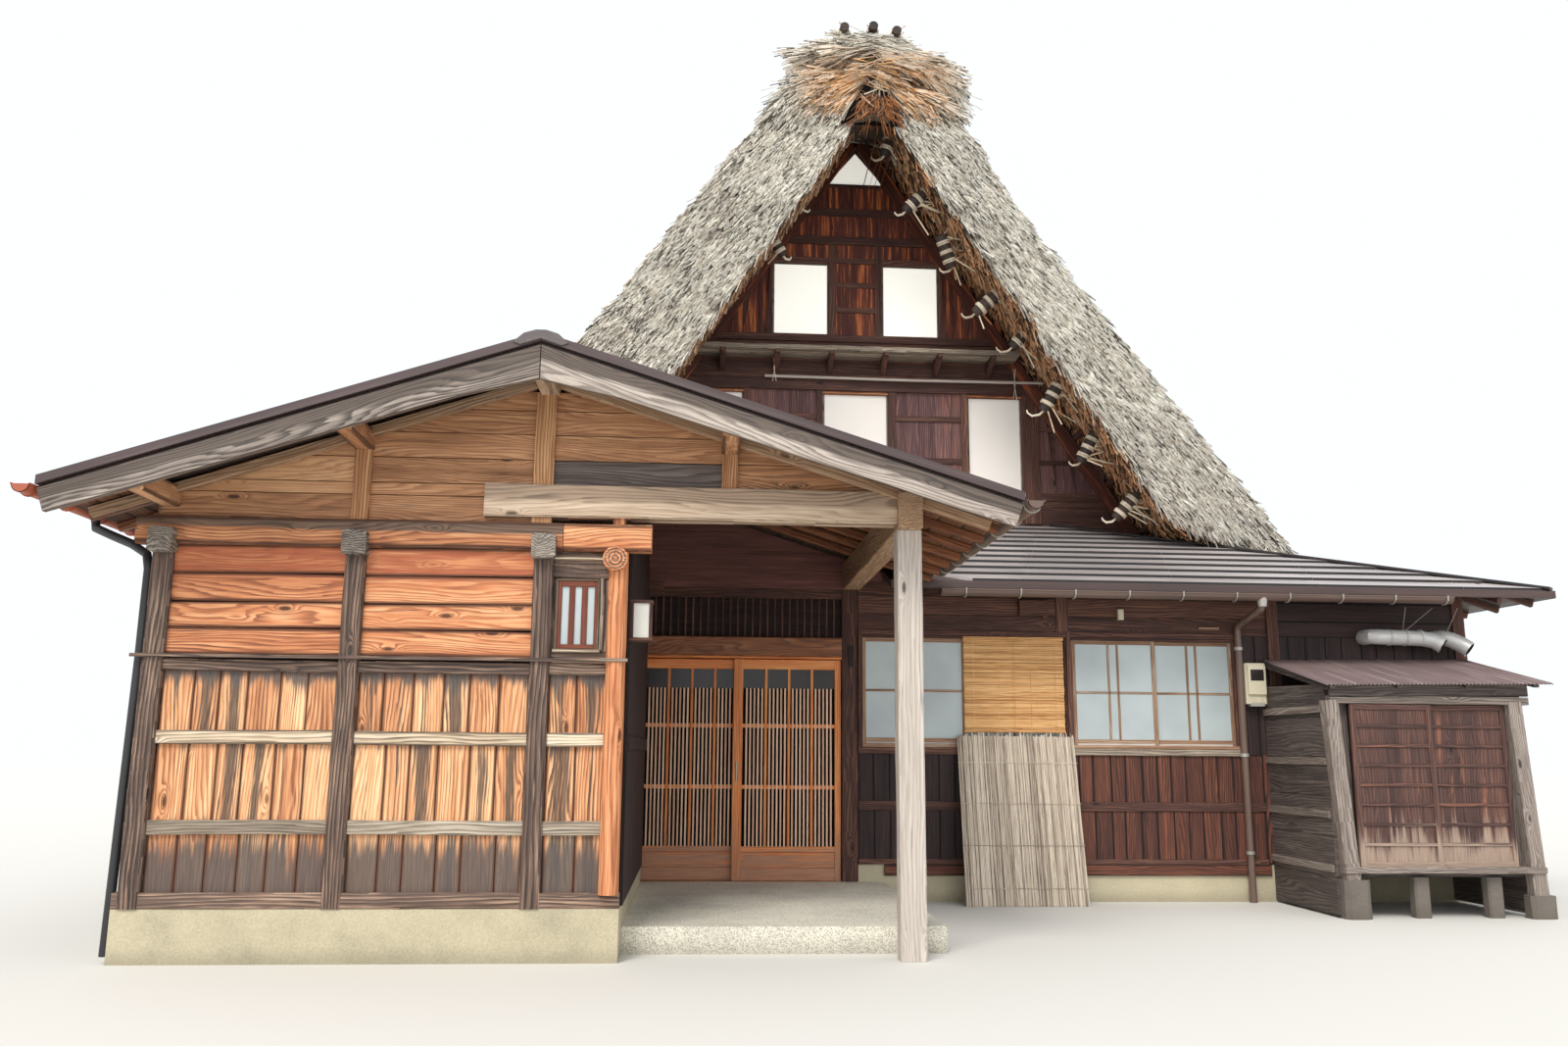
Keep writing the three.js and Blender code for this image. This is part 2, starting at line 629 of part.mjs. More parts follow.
function addFrontWallLeft() {
  const under = (x) => wingUnder(x) - GAP;
  const wall = acrossY([
    [MAIN_LEFT, FLOOR + GAP],
    [DOOR_POST_LEFT - GAP, FLOOR + GAP],
    [DOOR_POST_LEFT - GAP, ENTRANCE_TOP + GAP],
    [DOOR_POST_RIGHT, ENTRANCE_TOP + GAP],
    [DOOR_POST_RIGHT, WALL_TOP + GAP],
    [PORCH_RIGHT - GAP, WALL_TOP + GAP],
    [PORCH_RIGHT - GAP, under(PORCH_RIGHT)],
    [WING_RIDGE_X, under(WING_RIDGE_X)],
    [MAIN_LEFT, under(MAIN_LEFT)],
  ], MAIN_FRONT, MAIN_FRONT + WALL);
  const inner = box(...WING_DOORWAY, -FAR, FAR, 0, WING_DOORWAY_TOP);
  add('front_wall_left', cut(wall, [inner]), darkWood);
}

function addEntrance() {
  const y0 = MAIN_FRONT;
  const y1 = MAIN_FRONT + WALL;
  const floor = HALL_FLOOR + GAP;
  const across = (z0, z1) => box(DOOR_POST_LEFT, DOOR_POST_RIGHT, y0, y1, z0, z1);
  const barHalf = 9;
  const barFront = y0 + 35;
  const sheetFront = y0 + 60;
  const sheetBack = y0 + 72;
  const pieces = [
    box(DOOR_POST_LEFT, DOORWAY_LEFT, y0, y1, floor, ENTRANCE_TOP),
    box(DOORWAY_RIGHT, DOOR_POST_RIGHT, y0, y1, floor, ENTRANCE_TOP),
    across(DOORWAY_TOP, TRANSOM_BOTTOM),
    across(TRANSOM_TOP, ENTRANCE_TOP),
    across(floor, floor + TRACK),
    box(DOOR_POST_LEFT, DOOR_POST_RIGHT, sheetFront, sheetBack, DOORWAY_TOP, ENTRANCE_TOP),
  ];
  for (let i = 0; i < TRANSOM_BARS; i += 1) {
    const x = DOORWAY_LEFT + (DOORWAY_RIGHT - DOORWAY_LEFT) * (i + 0.5) / TRANSOM_BARS;
    pieces.push(box(
      x - barHalf, x + barHalf, barFront, sheetFront + 5, TRANSOM_BOTTOM - TENON, TRANSOM_TOP + TENON));
  }
  add('entrance_frame', join(pieces), darkWood);
  const doorBottom = floor + TRACK + GAP;
  const doorTop = DOORWAY_TOP - CLEARANCE;
  add('entrance_door_right', latticeDoor(
    DOORWAY_RIGHT - CLEARANCE - DOOR_WIDTH, RIGHT_DOOR_FRONT, doorBottom, doorTop), doorWood);
  add('entrance_door_left', latticeDoor(
    DOORWAY_LEFT + CLEARANCE, LEFT_DOOR_FRONT, doorBottom, doorTop), doorWood);
}

// A sliding door: a recessed field between its stiles, crossed by three uprights and two rails
function latticeDoor(left, front, bottom, top) {
  const right = left + DOOR_WIDTH;
  const leftStile = 75;
  const rightStile = 40;
  const bottomRail = 260;
  const topRail = 75;
  const recess = 16;
  const barHalf = 15;
  const fieldLeft = left + leftStile;
  const fieldWidth = DOOR_WIDTH - leftStile - rightStile;
  const fieldBottom = bottom + bottomRail;
  const fieldTop = top - topRail;
  const leaf = box(left, right, front, front + DOOR_THICKNESS, bottom, top);
  const field = box(fieldLeft, fieldLeft + fieldWidth, -FAR, front + recess, fieldBottom, fieldTop);
  const uprights = [1, 2, 3].map((i) => {
    const x = fieldLeft + fieldWidth * i / 4;
    return box(x - barHalf, x + barHalf, front, front + recess + 4, fieldBottom - TENON, fieldTop + TENON);
  });
  const rails = [0.41, 0.69].map((share) => {
    const z = bottom + (top - bottom) * share;
    return box(
      fieldLeft - TENON, right - rightStile + TENON, front + 4, front + recess + 4, z - barHalf, z + barHalf);
  });
  return join([cut(leaf, [field]), ...uprights, ...rails]);
}

// A window of equal lights. The bar in the middle is the pair of stiles where two sashes meet.
function windowFrame([left, right], columns, rows) {
  const x0 = left + GAP;
  const x1 = right - GAP;
  const y0 = MAIN_FRONT - WINDOW_PROUD;
  const y1 = MAIN_FRONT + 60;
  const z0 = WINDOW_BOTTOM + GAP;
  const z1 = WINDOW_TOP - GAP;
  const rim = 45;
  const sillRim = 55;
  const glass = 15;
  const barHalf = 12;
  const meetingHalf = 30;
  const barFront = y0 + 20;
  const barBack = y1 - 5;
  const lap = 5;
  const pieces = [cut(box(x0, x1, y0, y1, z0, z1), [
    box(x0 + rim, x1 - rim, -FAR, y1 - glass, z0 + sillRim, z1 - rim),
  ])];
  for (let i = 1; i < columns; i += 1) {
    const x = x0 + rim + (x1 - x0 - 2 * rim) * i / columns;
    const half = i === columns / 2 ? meetingHalf : barHalf;
    pieces.push(box(x - half, x + half, barFront, barBack, z0 + rim, z1 - rim + lap));
  }
  for (let i = 1; i < rows; i += 1) {
    const z = z0 + rim + (z1 - z0 - 2 * rim) * i / rows;
    pieces.push(box(x0 + rim - lap, x1 - rim + lap, barFront + lap, barBack, z - barHalf, z + barHalf));
  }
  return join(pieces);
}

function addFrontWallRight() {
  const wall = box(
    DOOR_POST_RIGHT + GAP, MAIN_RIGHT, MAIN_FRONT, MAIN_FRONT + WALL, FLOOR + GAP, WALL_TOP);
  const holes = [LEFT_WINDOW, RIGHT_WINDOW].map(
    ([x0, x1]) => box(x0, x1, -FAR, FAR, WINDOW_BOTTOM, WINDOW_TOP));
  add('front_wall_right', cut(wall, holes), darkWood);
  add('window_left', windowFrame(LEFT_WINDOW, 4, 2), greyWood);
  add('window_right', windowFrame(RIGHT_WINDOW, 8, 2), greyWood);
  const onSash = MAIN_FRONT - WINDOW_PROUD - GAP;
  const blindThickness = 12;
  add('bamboo_blind', box(...BLIND, onSash - blindThickness, onSash, BLIND_BOTTOM, BLIND_TOP), bambooReed);
  const screenThickness = 20;
  const screenTopBack = onSash - 0.3;
  add('reed_screen', acrossX([
    [SCREEN_FOOT_FRONT, 0],
    [SCREEN_FOOT_FRONT + screenThickness, 0],
    [screenTopBack, SCREEN_TOP],
    [screenTopBack - screenThickness, SCREEN_TOP],
  ], ...SCREEN), greyReed);
}

function addOtherWalls() {
  const inFront = MAIN_FRONT + WALL + GAP;
  const inBack = MAIN_BACK - WALL - GAP;
  const hole = (x0, x1, y0, y1) => box(x0, x1, y0, y1, WINDOW_BOTTOM, WINDOW_TOP);
  const sideHoles = SIDE_WINDOWS.map((y) => hole(-FAR, FAR, y, y + OTHER_WINDOW_WIDTH));
  const side = (x) => cut(box(x, x + WALL, inFront, inBack, FLOOR + GAP, WALL_TOP), sideHoles);
  add('left_wall', side(MAIN_LEFT), darkWood);
  add('right_wall', side(MAIN_RIGHT - WALL), darkWood);
  const backHoles = BACK_WINDOWS.map((x) => hole(x, x + OTHER_WINDOW_WIDTH, -FAR, FAR));
  add('back_wall', cut(
    box(MAIN_LEFT, MAIN_RIGHT, MAIN_BACK - WALL, MAIN_BACK, FLOOR + GAP, WALL_TOP), backHoles), darkWood);
  const panes = (x0, x1, y0, y1) =>
    box(x0, x1, y0, y1, WINDOW_BOTTOM - PANE_LAP, WINDOW_TOP + PANE_LAP);
  const span = (windows) => [windows[0] - PANE_LAP, windows[2] + OTHER_WINDOW_WIDTH + PANE_LAP];
  const inLeft = MAIN_LEFT + WALL + GAP;
  const inRight = MAIN_RIGHT - WALL - GAP;
  add('left_panes', panes(inLeft, inLeft + PANE, ...span(SIDE_WINDOWS)), paperWhite);
  add('right_panes', panes(inRight - PANE, inRight, ...span(SIDE_WINDOWS)), paperWhite);
  add('back_panes', panes(...span(BACK_WINDOWS), inBack - PANE, inBack), paperWhite);
}

// Lean-to roof, four slopes mitred at the hips

function addLeanToRoof() {
  const skin = (points, height) => slab(points, height, (x, y) => height(x, y) - ROOF_SKIN);
  const frontHeight = (x, y) => leanTo(y - EAVE_FRONT);
  const backHeight = (x, y) => leanTo(EAVE_BACK - y);
  const rightHeight = (x) => leanTo(EAVE_RIGHT - x);
  const leftHeight = (x) => leanTo(x - EAVE_LEFT);
  const mitre = 0.5;
  const coreFront = CORE_FRONT - GAP;
  const coreBack = CORE_BACK + GAP;
  const run = LEAN_TO_RUN - GAP;
  const start = MAIN_FRONT + WALL + GAP;
  const coreSide = PLATE_OUTER + GAP;
  add('lean_to_roof_front', skin([
    [PORCH_RIGHT, EAVE_FRONT],
    [EAVE_RIGHT - mitre, EAVE_FRONT],
    [EAVE_RIGHT - mitre - run, coreFront],
    [EAVE_LEFT + mitre + run, coreFront],
    [EAVE_LEFT + mitre + start - EAVE_FRONT, start],
    [PORCH_RIGHT, start],
  ], frontHeight), roofMetal);
  add('lean_to_roof_back', skin([
    [EAVE_RIGHT - mitre, EAVE_BACK],
    [EAVE_LEFT + mitre, EAVE_BACK],
    [EAVE_LEFT + mitre + run, coreBack],
    [EAVE_RIGHT - mitre - run, coreBack],
  ], backHeight), roofMetal);
  add('lean_to_roof_right', skin([
    [EAVE_RIGHT, EAVE_FRONT],
    [EAVE_RIGHT, EAVE_BACK],
    [EAVE_RIGHT - run, coreBack],
    [CENTRE_X + coreSide, coreBack],
    [CENTRE_X + coreSide, coreFront],
    [EAVE_RIGHT - run, coreFront],
  ], rightHeight), roofMetal);
  add('lean_to_roof_left', skin([
    [EAVE_LEFT, EAVE_BACK],
    [EAVE_LEFT, start],
    [EAVE_LEFT + start - EAVE_FRONT, start],
    [EAVE_LEFT + run, coreFront],
    [CENTRE_X - coreSide, coreFront],
    [CENTRE_X - coreSide, coreBack],
    [EAVE_LEFT + run, coreBack],
  ], leftHeight), roofMetal);
}

// Timber core, gable walls and floors under the thatch

function addCore() {
  const pieces = [];
  const half = CORE_POST_HALF;
  for (const y of [CORE_FRONT + half, CENTRE_Y, CORE_BACK - half]) {
    for (const side of [-1, 1]) {
      const x = CENTRE_X + side * (PLATE_INNER + PLATE_OUTER) / 2;
      pieces.push(box(x - half, x + half, y - half, y + half, FLOOR + GAP, PLATE_BOTTOM + TENON));
    }
    pieces.push(box(
      CENTRE_X - PLATE_OUTER, CENTRE_X + PLATE_OUTER, y - half, y + half, PLATE_BOTTOM, PLATE_TOP));
  }
  for (const side of [-1, 1]) {
    const x0 = CENTRE_X + side * PLATE_INNER;
    const x1 = CENTRE_X + side * PLATE_OUTER;
    pieces.push(box(
      Math.min(x0, x1), Math.max(x0, x1), CORE_FRONT, CORE_BACK, PLATE_BOTTOM, PLATE_TOP));
  }
  add('core_frame', join(pieces), darkWood);
  const hatch = box(
    CENTRE_X - HATCH_HALF_WIDTH, CENTRE_X + HATCH_HALF_WIDTH,
    HATCH_FRONT, HATCH_FRONT + HATCH_LENGTH, 0, FAR);
  const behindPanes = 75;
  const floor = (top, thickness) => {
    const reach = steepReach(top, RAFTER_BOTTOM_DEPTH) - GAP;
    return cut(box(
      CENTRE_X - reach, CENTRE_X + reach, CORE_FRONT + behindPanes, CORE_BACK - behindPanes,
      top - thickness, top), [hatch]);
  };
  add('loft_floor', floor(PLATE_TOP + GAP + LOFT_BOARDS, LOFT_BOARDS), tanWood);
  add('attic_floor', floor(ATTIC_FLOOR, ATTIC_FLOOR_THICKNESS), tanWood);
}

function gableWall(y0, y1) {
  const foot = PLATE_TOP + GAP;
  const top = THATCH_CROWN_BOTTOM - GAP;
  const edge = (z) => steepReach(z, 2 * POLE_RADIUS + 2 * GAP);
  const wall = acrossY([
    [CENTRE_X - edge(foot), foot],
    [CENTRE_X + edge(foot), foot],
    [CENTRE_X + edge(top), top],
    [CENTRE_X - edge(top), top],
  ], y0, y1);
  const light = ([left, right], low, high) =>
    box(CENTRE_X + left, CENTRE_X + right, -FAR, FAR, low, high);
  return cut(wall, [
    ...LOFT_LIGHTS.map((span) => light(span, LOFT_SILL, LOFT_HEAD)),
    ...ATTIC_LIGHTS.map((span) => light(span, ATTIC_SILL, ATTIC_HEAD)),
    acrossY([
      [CENTRE_X - APEX_LIGHT_HALF, APEX_LIGHT_BASE],
      [CENTRE_X + APEX_LIGHT_HALF, APEX_LIGHT_BASE],
      [CENTRE_X, APEX_LIGHT_TOP],
    ], y0 - TENON, y1 + TENON),
  ]);
}

function gablePanes(y0, y1) {
  const left = [...GABLE_PANE_EDGE].reverse().map(([reach, z]) => [-reach, z]);
  return acrossY([...GABLE_PANE_EDGE, ...left].map(([reach, z]) => [CENTRE_X + reach, z]), y0, y1);
}

function addGables() {
  add('gable_wall_front', gableWall(CORE_FRONT, CORE_FRONT + GABLE_WALL), darkWood);
  add('gable_wall_back', gableWall(CORE_BACK - GABLE_WALL, CORE_BACK), darkWood);
  const inFront = CORE_FRONT + GABLE_WALL + GAP;
  add('gable_panes_front', gablePanes(inFront, inFront + GABLE_PANE), paperWhite);
  const inBack = CORE_BACK - GABLE_WALL - GAP;
  add('gable_panes_back', gablePanes(inBack - GABLE_PANE, inBack), paperWhite);
  const back = CORE_FRONT - GAP;
  const bracketTop = SHELF_BOTTOM + 5;
  const bracketDrop = 180;
  const bracketHalf = 30;
  const shelf = [box(
    CENTRE_X - SHELF_HALF_WIDTH, CENTRE_X + SHELF_HALF_WIDTH, SHELF_FRONT, back, SHELF_BOTTOM, SHELF_TOP)];
  for (const reach of SHELF_BRACKETS) {
    const x = CENTRE_X + reach;
    shelf.push(acrossX([
      [SHELF_FRONT + 70, bracketTop], [back, bracketTop - bracketDrop], [back, bracketTop],
    ], x - bracketHalf, x + bracketHalf));
  }
  add('gable_shelf', join(shelf), greyWood);
}

// Steep roof: rafters and poles, then the thatch on them

function roofFrame(side) {
  const foot = PLATE_TOP + GAP;
  const top = THATCH_CROWN_BOTTOM - GAP;
  const at = (z, depth) => [CENTRE_X + side * Math.max(steepReach(z, depth), GAP / 2), z];
  const pieces = [];
  const behindGable = 90;
  const first = CORE_FRONT + behindGable;
  const last = CORE_BACK - behindGable - RAFTER_WIDTH;
  for (let i = 0; i < RAFTERS; i += 1) {
    const y = first + (last - first) * i / (RAFTERS - 1);
    pieces.push(acrossY([
      at(foot, RAFTER_BOTTOM_DEPTH), at(foot, RAFTER_TOP_DEPTH),
      at(top, RAFTER_TOP_DEPTH), at(top, RAFTER_BOTTOM_DEPTH),
    ], y, y + RAFTER_WIDTH));
  }
  for (let i = 0; i < POLE_ROWS; i += 1) {
    const z = POLE_FIRST + POLE_STEP * i;
    const x = CENTRE_X + side * steepReach(z, POLE_RADIUS + GAP);
    pieces.push(rod([x, POLE_FRONT, z], [x, mirrored(POLE_FRONT), z], POLE_RADIUS, 8));
  }
  return join(pieces);
}

// One slope of thatch. upper lists the outer surface from the crown to the eave, as [reach, z].
function thatch(side, upper) {
  const cutLine = (reach) => leanTo(MAIN_HALF_WIDTH + EAVE_OVERHANG - reach) + THATCH_LIFT;
  const eaveReach = upper[upper.length - 1][0];
  const inner = (apex, crown) => {
    const eave = (apex - cutLine(0)) / (SOFFIT_SLOPE - LEAN_TO_SLOPE);
    return [
      [eave, cutLine(eave)],
      [(apex - crown) / SOFFIT_SLOPE, crown],
      [GAP / 2, crown],
    ];
  };
  const outer = [CROWN, ...upper, [eaveReach, cutLine(eaveReach)]];
  const place = (points, y) => points.map(([reach, z]) => [CENTRE_X + side * reach, y, z]);
  const ring = ({ face, lip, apex, crown }, turn) => [
    ...place(outer, turn(face)),
    ...place(inner(apex, crown), turn(lip)),
  ].reverse();
  const rings = [
    ...THATCH_LIPS.map((lip) => ring(lip, (y) => y)),
    ...[...THATCH_LIPS].reverse().map((lip) => ring(lip, mirrored)),
  ];
  const flat = [...outer, ...inner(THATCH_LIPS[0].apex, THATCH_LIPS[0].crown)].reverse();
  return side > 0 ? loft(rings, flat) : loft(rings.reverse(), flat);
}

function addThatch() {
  add('roof_frame_left', roofFrame(-1), darkWood);
  add('roof_frame_right', roofFrame(1), darkWood);
  const wingRoofBack = 5320;
  const overWing = acrossY([
    [WING_EAVE_LEFT, 0],
    [WING_RIDGE_X, 0],
    [WING_RIDGE_X, WING_RIDGE_TOP + GAP],
    [WING_EAVE_LEFT, wingTop(WING_EAVE_LEFT) + GAP],
  ], 0, wingRoofBack);
  add('thatch_left', cut(thatch(-1, THATCH_OUTER_LEFT), [overWing]), thatchStraw);
  add('thatch_right', thatch(1, THATCH_OUTER_RIGHT), thatchStraw);
  const cap = acrossY(
    [...RIDGE_UNDER, ...RIDGE_OVER].map(([reach, z]) => [CENTRE_X + reach, z]),
    RIDGE_FRONT, mirrored(RIDGE_FRONT));
  const poles = RIDGE_POLES.map(([reach, z]) => rod(
    [CENTRE_X + reach, RIDGE_POLE_FRONT, z], [CENTRE_X + reach, mirrored(RIDGE_POLE_FRONT), z],
    RIDGE_POLE_RADIUS, 10));
  add('thatch_ridge', join([cap, ...poles]), thatchStraw);
}

// Shed

function addShed() {
  const back = MAIN_FRONT - GAP;
  const roofUnder = (x, y) => shedRoofTop(x, y) - SHED_ROOF_SKIN - GAP;
  const frameBack = SHED_FRONT + 100;
  const railFront = SHED_FRONT + 5;
  const sideFront = SHED_FRONT + 80;
  const left = SHED_SIDES[0] + 20;
  const right = SHED_SIDES[1] + 30;
  const post = ({ top, foot }) => acrossY([
    [foot, 0], [foot + SHED_POST_WIDTH, 0], [top + SHED_POST_WIDTH, SHED_POST_TOP], [top, SHED_POST_TOP],
  ], SHED_FRONT, frameBack);
  const sideWall = (x0) => {
    const lowest = (y) => Math.min(roofUnder(x0, y), roofUnder(x0 + SHED_SIDE_THICKNESS, y));
    return acrossX([
      [sideFront, 0], [back, 0], [back, lowest(back)], [sideFront, lowest(sideFront)],
    ], x0, x0 + SHED_SIDE_THICKNESS);
  };
  const jamb = (x0, x1) => box(x0, x1, SHED_FRONT + 86, SHED_FRONT + 112, 0, SHED_POST_TOP);
  const jambLap = 20;
  const headTop = SHED_HEAD_BOTTOM + 60;
  const sillBottom = SHED_SILL_TOP - 43;
  add('shed_frame', join([
    ...SHED_POSTS.map(post),
    box(left - TENON, right - 30, railFront, frameBack, SHED_HEAD_BOTTOM, headTop),
    box(left - TENON, right + TENON, railFront, frameBack, sillBottom, SHED_SILL_TOP),
    box(left, right, SHED_FRONT + 90, back, SHED_FLOOR_TOP - 35, SHED_FLOOR_TOP),
    ...SHED_SIDES.map(sideWall),
    jamb(left, SHED_DOOR_LEFT + jambLap),
    jamb(SHED_DOOR_RIGHT - jambLap, right),
  ]), greyWood);
  add('shed_roof', slab([
    [SHED_ROOF_LEFT[0], SHED_ROOF_FRONT], [SHED_ROOF_RIGHT[0], SHED_ROOF_FRONT],
    [SHED_ROOF_RIGHT[1], back], [SHED_ROOF_LEFT[1], back],
  ], shedRoofTop, (x, y) => shedRoofTop(x, y) - SHED_ROOF_SKIN), roofMetal);
  const low = SHED_SILL_TOP + GAP;
  const high = SHED_HEAD_BOTTOM - CLEARANCE;
  const battenHalf = 17;
  const leafThickness = 20;
  const leaf = (x0, y) => {
    const battens = [0.03, 0.27, 0.5, 0.73, 0.97].map((share) => {
      const z = low + battenHalf + (high - low - 2 * battenHalf) * share;
      return box(x0, x0 + SHED_DOOR_WIDTH, y - 10, y + 5, z - battenHalf, z + battenHalf);
    });
    return join([box(x0, x0 + SHED_DOOR_WIDTH, y, y + leafThickness, low, high), ...battens]);
  };
  add('shed_door_left', leaf(SHED_DOOR_LEFT, SHED_FRONT + 22), darkWood);
  add('shed_door_right', leaf(SHED_DOOR_RIGHT - SHED_DOOR_WIDTH, SHED_FRONT + 58), darkWood);
}

// Fittings on the front wall

function addFittings() {
  const back = MAIN_FRONT - GAP;
  add('meter_box', box(...METER, back - METER_DEPTH, back, METER_BOTTOM, METER_TOP), beigeMetal);
  const pipeRadius = 55;
  const stubRadius = 40;
  const mouthRadius = 65;
  const pipe = (from, to, radius) => rod(from, to, radius, 12);
  add('flue_pipes', join([
    pipe([5780, back, 2240], [5780, FLUE_Y, 2240], pipeRadius),
    pipe([5740, FLUE_Y, 2240], [6560, FLUE_Y, 2160], pipeRadius),
    pipe([6350, FLUE_Y, 2180], [6350, back, 2180], stubRadius),
    pipe([6500, FLUE_Y, 2160], [6620, FLUE_Y - 100, 2120], mouthRadius),
  ]), silverMetal);
  const lampRight = -290;
  const armEnd = -410;
  add('wall_lamp', join([
    box(armEnd - TENON, lampRight, 130, 260, 1860, 2110),
    box(WING_RIGHT + GAP, armEnd, 180, 210, 2040, 2080),
  ]), paperWhite);
}

addFoundations();
addWingFrame();
addWingBoards();
addSlattedWindow();
addWingSides();
addWingGable();
addWingRoof();
addBargeboards();
addGutters();
addPorch();
addFrontWallLeft();
addEntrance();
addFrontWallRight();
addOtherWalls();
addLeanToRoof();
addCore();
addGables();
addThatch();
addShed();
addFittings();

// The finished frame: origin on the ground, under the middle of the whole
const bounds = new THREE.Box3().setFromObject(house);
const middle = bounds.getCenter(new THREE.Vector3());
house.position.set(-middle.x, -middle.y, -bounds.min.z);

export default house;
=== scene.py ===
"""A steep thatched farmhouse, dressed over its CAD frame.

Sizes are in metres in the house's own frame: x runs right along the front, y runs back into the
house and z is up, with y = 0 at the face of the wing's front posts. SHIFT moves them to the CAD frame.
"""
import math
import random

import bmesh
import bpy
import numpy as np
from mathutils import Matrix, Vector, noise
from mathutils.bvhtree import BVHTree


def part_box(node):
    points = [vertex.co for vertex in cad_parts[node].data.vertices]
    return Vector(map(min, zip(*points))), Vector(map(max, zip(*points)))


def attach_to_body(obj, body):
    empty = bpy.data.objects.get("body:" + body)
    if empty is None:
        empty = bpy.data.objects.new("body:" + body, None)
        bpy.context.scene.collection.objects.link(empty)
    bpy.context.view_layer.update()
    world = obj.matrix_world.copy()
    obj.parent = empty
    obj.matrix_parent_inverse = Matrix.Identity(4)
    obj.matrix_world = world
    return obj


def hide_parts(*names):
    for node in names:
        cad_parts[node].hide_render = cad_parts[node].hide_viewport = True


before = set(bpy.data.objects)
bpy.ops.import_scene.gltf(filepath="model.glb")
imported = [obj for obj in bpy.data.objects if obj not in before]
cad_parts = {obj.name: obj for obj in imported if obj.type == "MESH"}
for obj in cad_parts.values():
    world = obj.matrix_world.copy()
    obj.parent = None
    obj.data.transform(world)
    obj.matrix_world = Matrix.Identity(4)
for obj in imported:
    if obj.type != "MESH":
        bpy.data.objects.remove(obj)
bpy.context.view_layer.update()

# Driving dimensions, the same as the CAD model's. A pair is the two ends of a span, unless said.

CENTRE_X = 1.700
CENTRE_Y = 9.350
PORCH_POST = (1.214, 1.370)
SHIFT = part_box("porch_post")[0] - Vector((PORCH_POST[0], 0.0, 0.0))
MAIN_LEFT, MAIN_RIGHT = -3.285, 6.685
MAIN_FRONT, MAIN_BACK = 2.880, 15.820
CORE_FRONT = 5.700
AGAINST_WALL = 2.879        # where what stands against the front wall ends
EAVE_LEFT, EAVE_RIGHT = -3.785, 7.185
EAVE_FRONT, EAVE_BACK = 2.380, 16.320
EAVE_HEIGHT = 2.580
LEAN_TO_SLOPE = 0.33
ROOF_SKIN = 0.060
FRONT_EAVE_START, LEFT_EAVE_START = 1.55, 3.00      # beside the wing's roof, and behind it
FLOOR = 0.300
WALL_RAIL = (0.731, 0.806)

WING_POSTS = (-3.180, -2.060, -0.945)
POST_HALF = 0.060
LOG_POST = (-0.493, -0.005, 0.060)       # x, y and radius
WING_SILL_TOP = 0.390
WING_HEAD = (2.390, 2.560)
WING_RAILS = ((0.710, 0.790), (1.220, 1.300), (1.640, 1.706))
BOARD_FACE = 0.036
WING_WINDOW = (-0.866, -0.606, 1.785, 2.220)        # its span in x, then in z
LOG_RINGS = (0.075, 0.064, 0.055, 0.044, 0.034, 0.022, 0.011)
WING_RIDGE = (-0.955, 3.578)             # x and z
WING_SLOPES = {-1: 0.337, 1: 0.314}      # left and right of the ridge
WING_EAVES = {-1: -3.700, 1: 1.898}
WING_LEFT, WING_RIGHT = -3.240, -0.430
WING_ROOF_BACK = 5.15
VERGE = (-0.485, -0.445)
STRUTS = ((-2.114, -2.015), (-1.034, -0.913), (0.123, 0.220))
PURLINS = ((-3.240, -3.130), (-2.120, -2.010), (0.118, 0.228))

DOORWAY = (-0.492, 1.206)
DOOR_WIDTH = 0.900
DOOR_Z = (0.1666, 1.961)
TRANSOM = (2.149, 2.480)
WINDOW_Z = (1.243, 2.180)
LEFT_WINDOW = (1.365, 3.130)
RIGHT_WINDOW = (3.168, 4.611)
SIDE_WINDOWS = (4.6, 8.5, 12.4)          # where each starts
BACK_WINDOWS = (-1.9, 0.85, 3.6)
OTHER_WINDOW = 1.7                       # the width of each

SOFFIT_APEX, SOFFIT_SLOPE = 8.5, 1.5
LOFT_LIGHTS = ((-1.875, -1.258), (-0.373, 0.362), (1.258, 1.875))
LOFT_Z = (4.05, 5.17)
ATTIC_LIGHTS = ((-0.946, -0.307), (0.300, 0.953))
ATTIC_Z = (5.82, 6.68)
APEX_LIGHT = (7.65, 0.335, 8.05)         # its foot, half its width and its tip

SHED_FRONT = 1.780
SHED_DOOR_Z = (0.3783, 1.594)
SHED_DOOR_WIDTH = 0.650
SHED_LEAVES = (("shed_door_left", 5.016, 1.802), ("shed_door_right", 5.634, 1.838))    # x and y

rng = random.Random(41)


def wing_top(x):
    """The height of the wing roof's top."""
    return WING_RIDGE[1] - WING_SLOPES[-1 if x < WING_RIDGE[0] else 1] * abs(x - WING_RIDGE[0])


def wing_reach(side, z, drop=0.0):
    """Where the surface drop below the wing roof's top comes down to a height, on one side."""
    return WING_RIDGE[0] + side * (WING_RIDGE[1] - drop - z) / WING_SLOPES[side]


def lean_to(inset):
    """The height of the lean-to roof's top, inset from its eave."""
    return EAVE_HEIGHT + LEAN_TO_SLOPE * inset


def shed_roof_top(x, y):
    """The height of the shed roof, which falls to the front and a little to the left."""
    return 1.750 + 0.0135 * (x - 5.733) + 0.2287 * (y - 1.700)


def soffit_reach(z, depth=0.0):
    """How far the surface depth inside the thatch's soffit stands from the centre line at a height."""
    lean = math.atan(SOFFIT_SLOPE)
    return (SOFFIT_APEX - depth / math.cos(lean) - z) / SOFFIT_SLOPE


# Camera and light

CAMERA_PLACE = Vector((0.0, -7.38, 1.2))
CAMERA_YAW, CAMERA_PITCH, CAMERA_ROLL = (math.radians(a) for a in (3.95, 10.62, 0.446))
FOCAL_LENGTH = 27.99


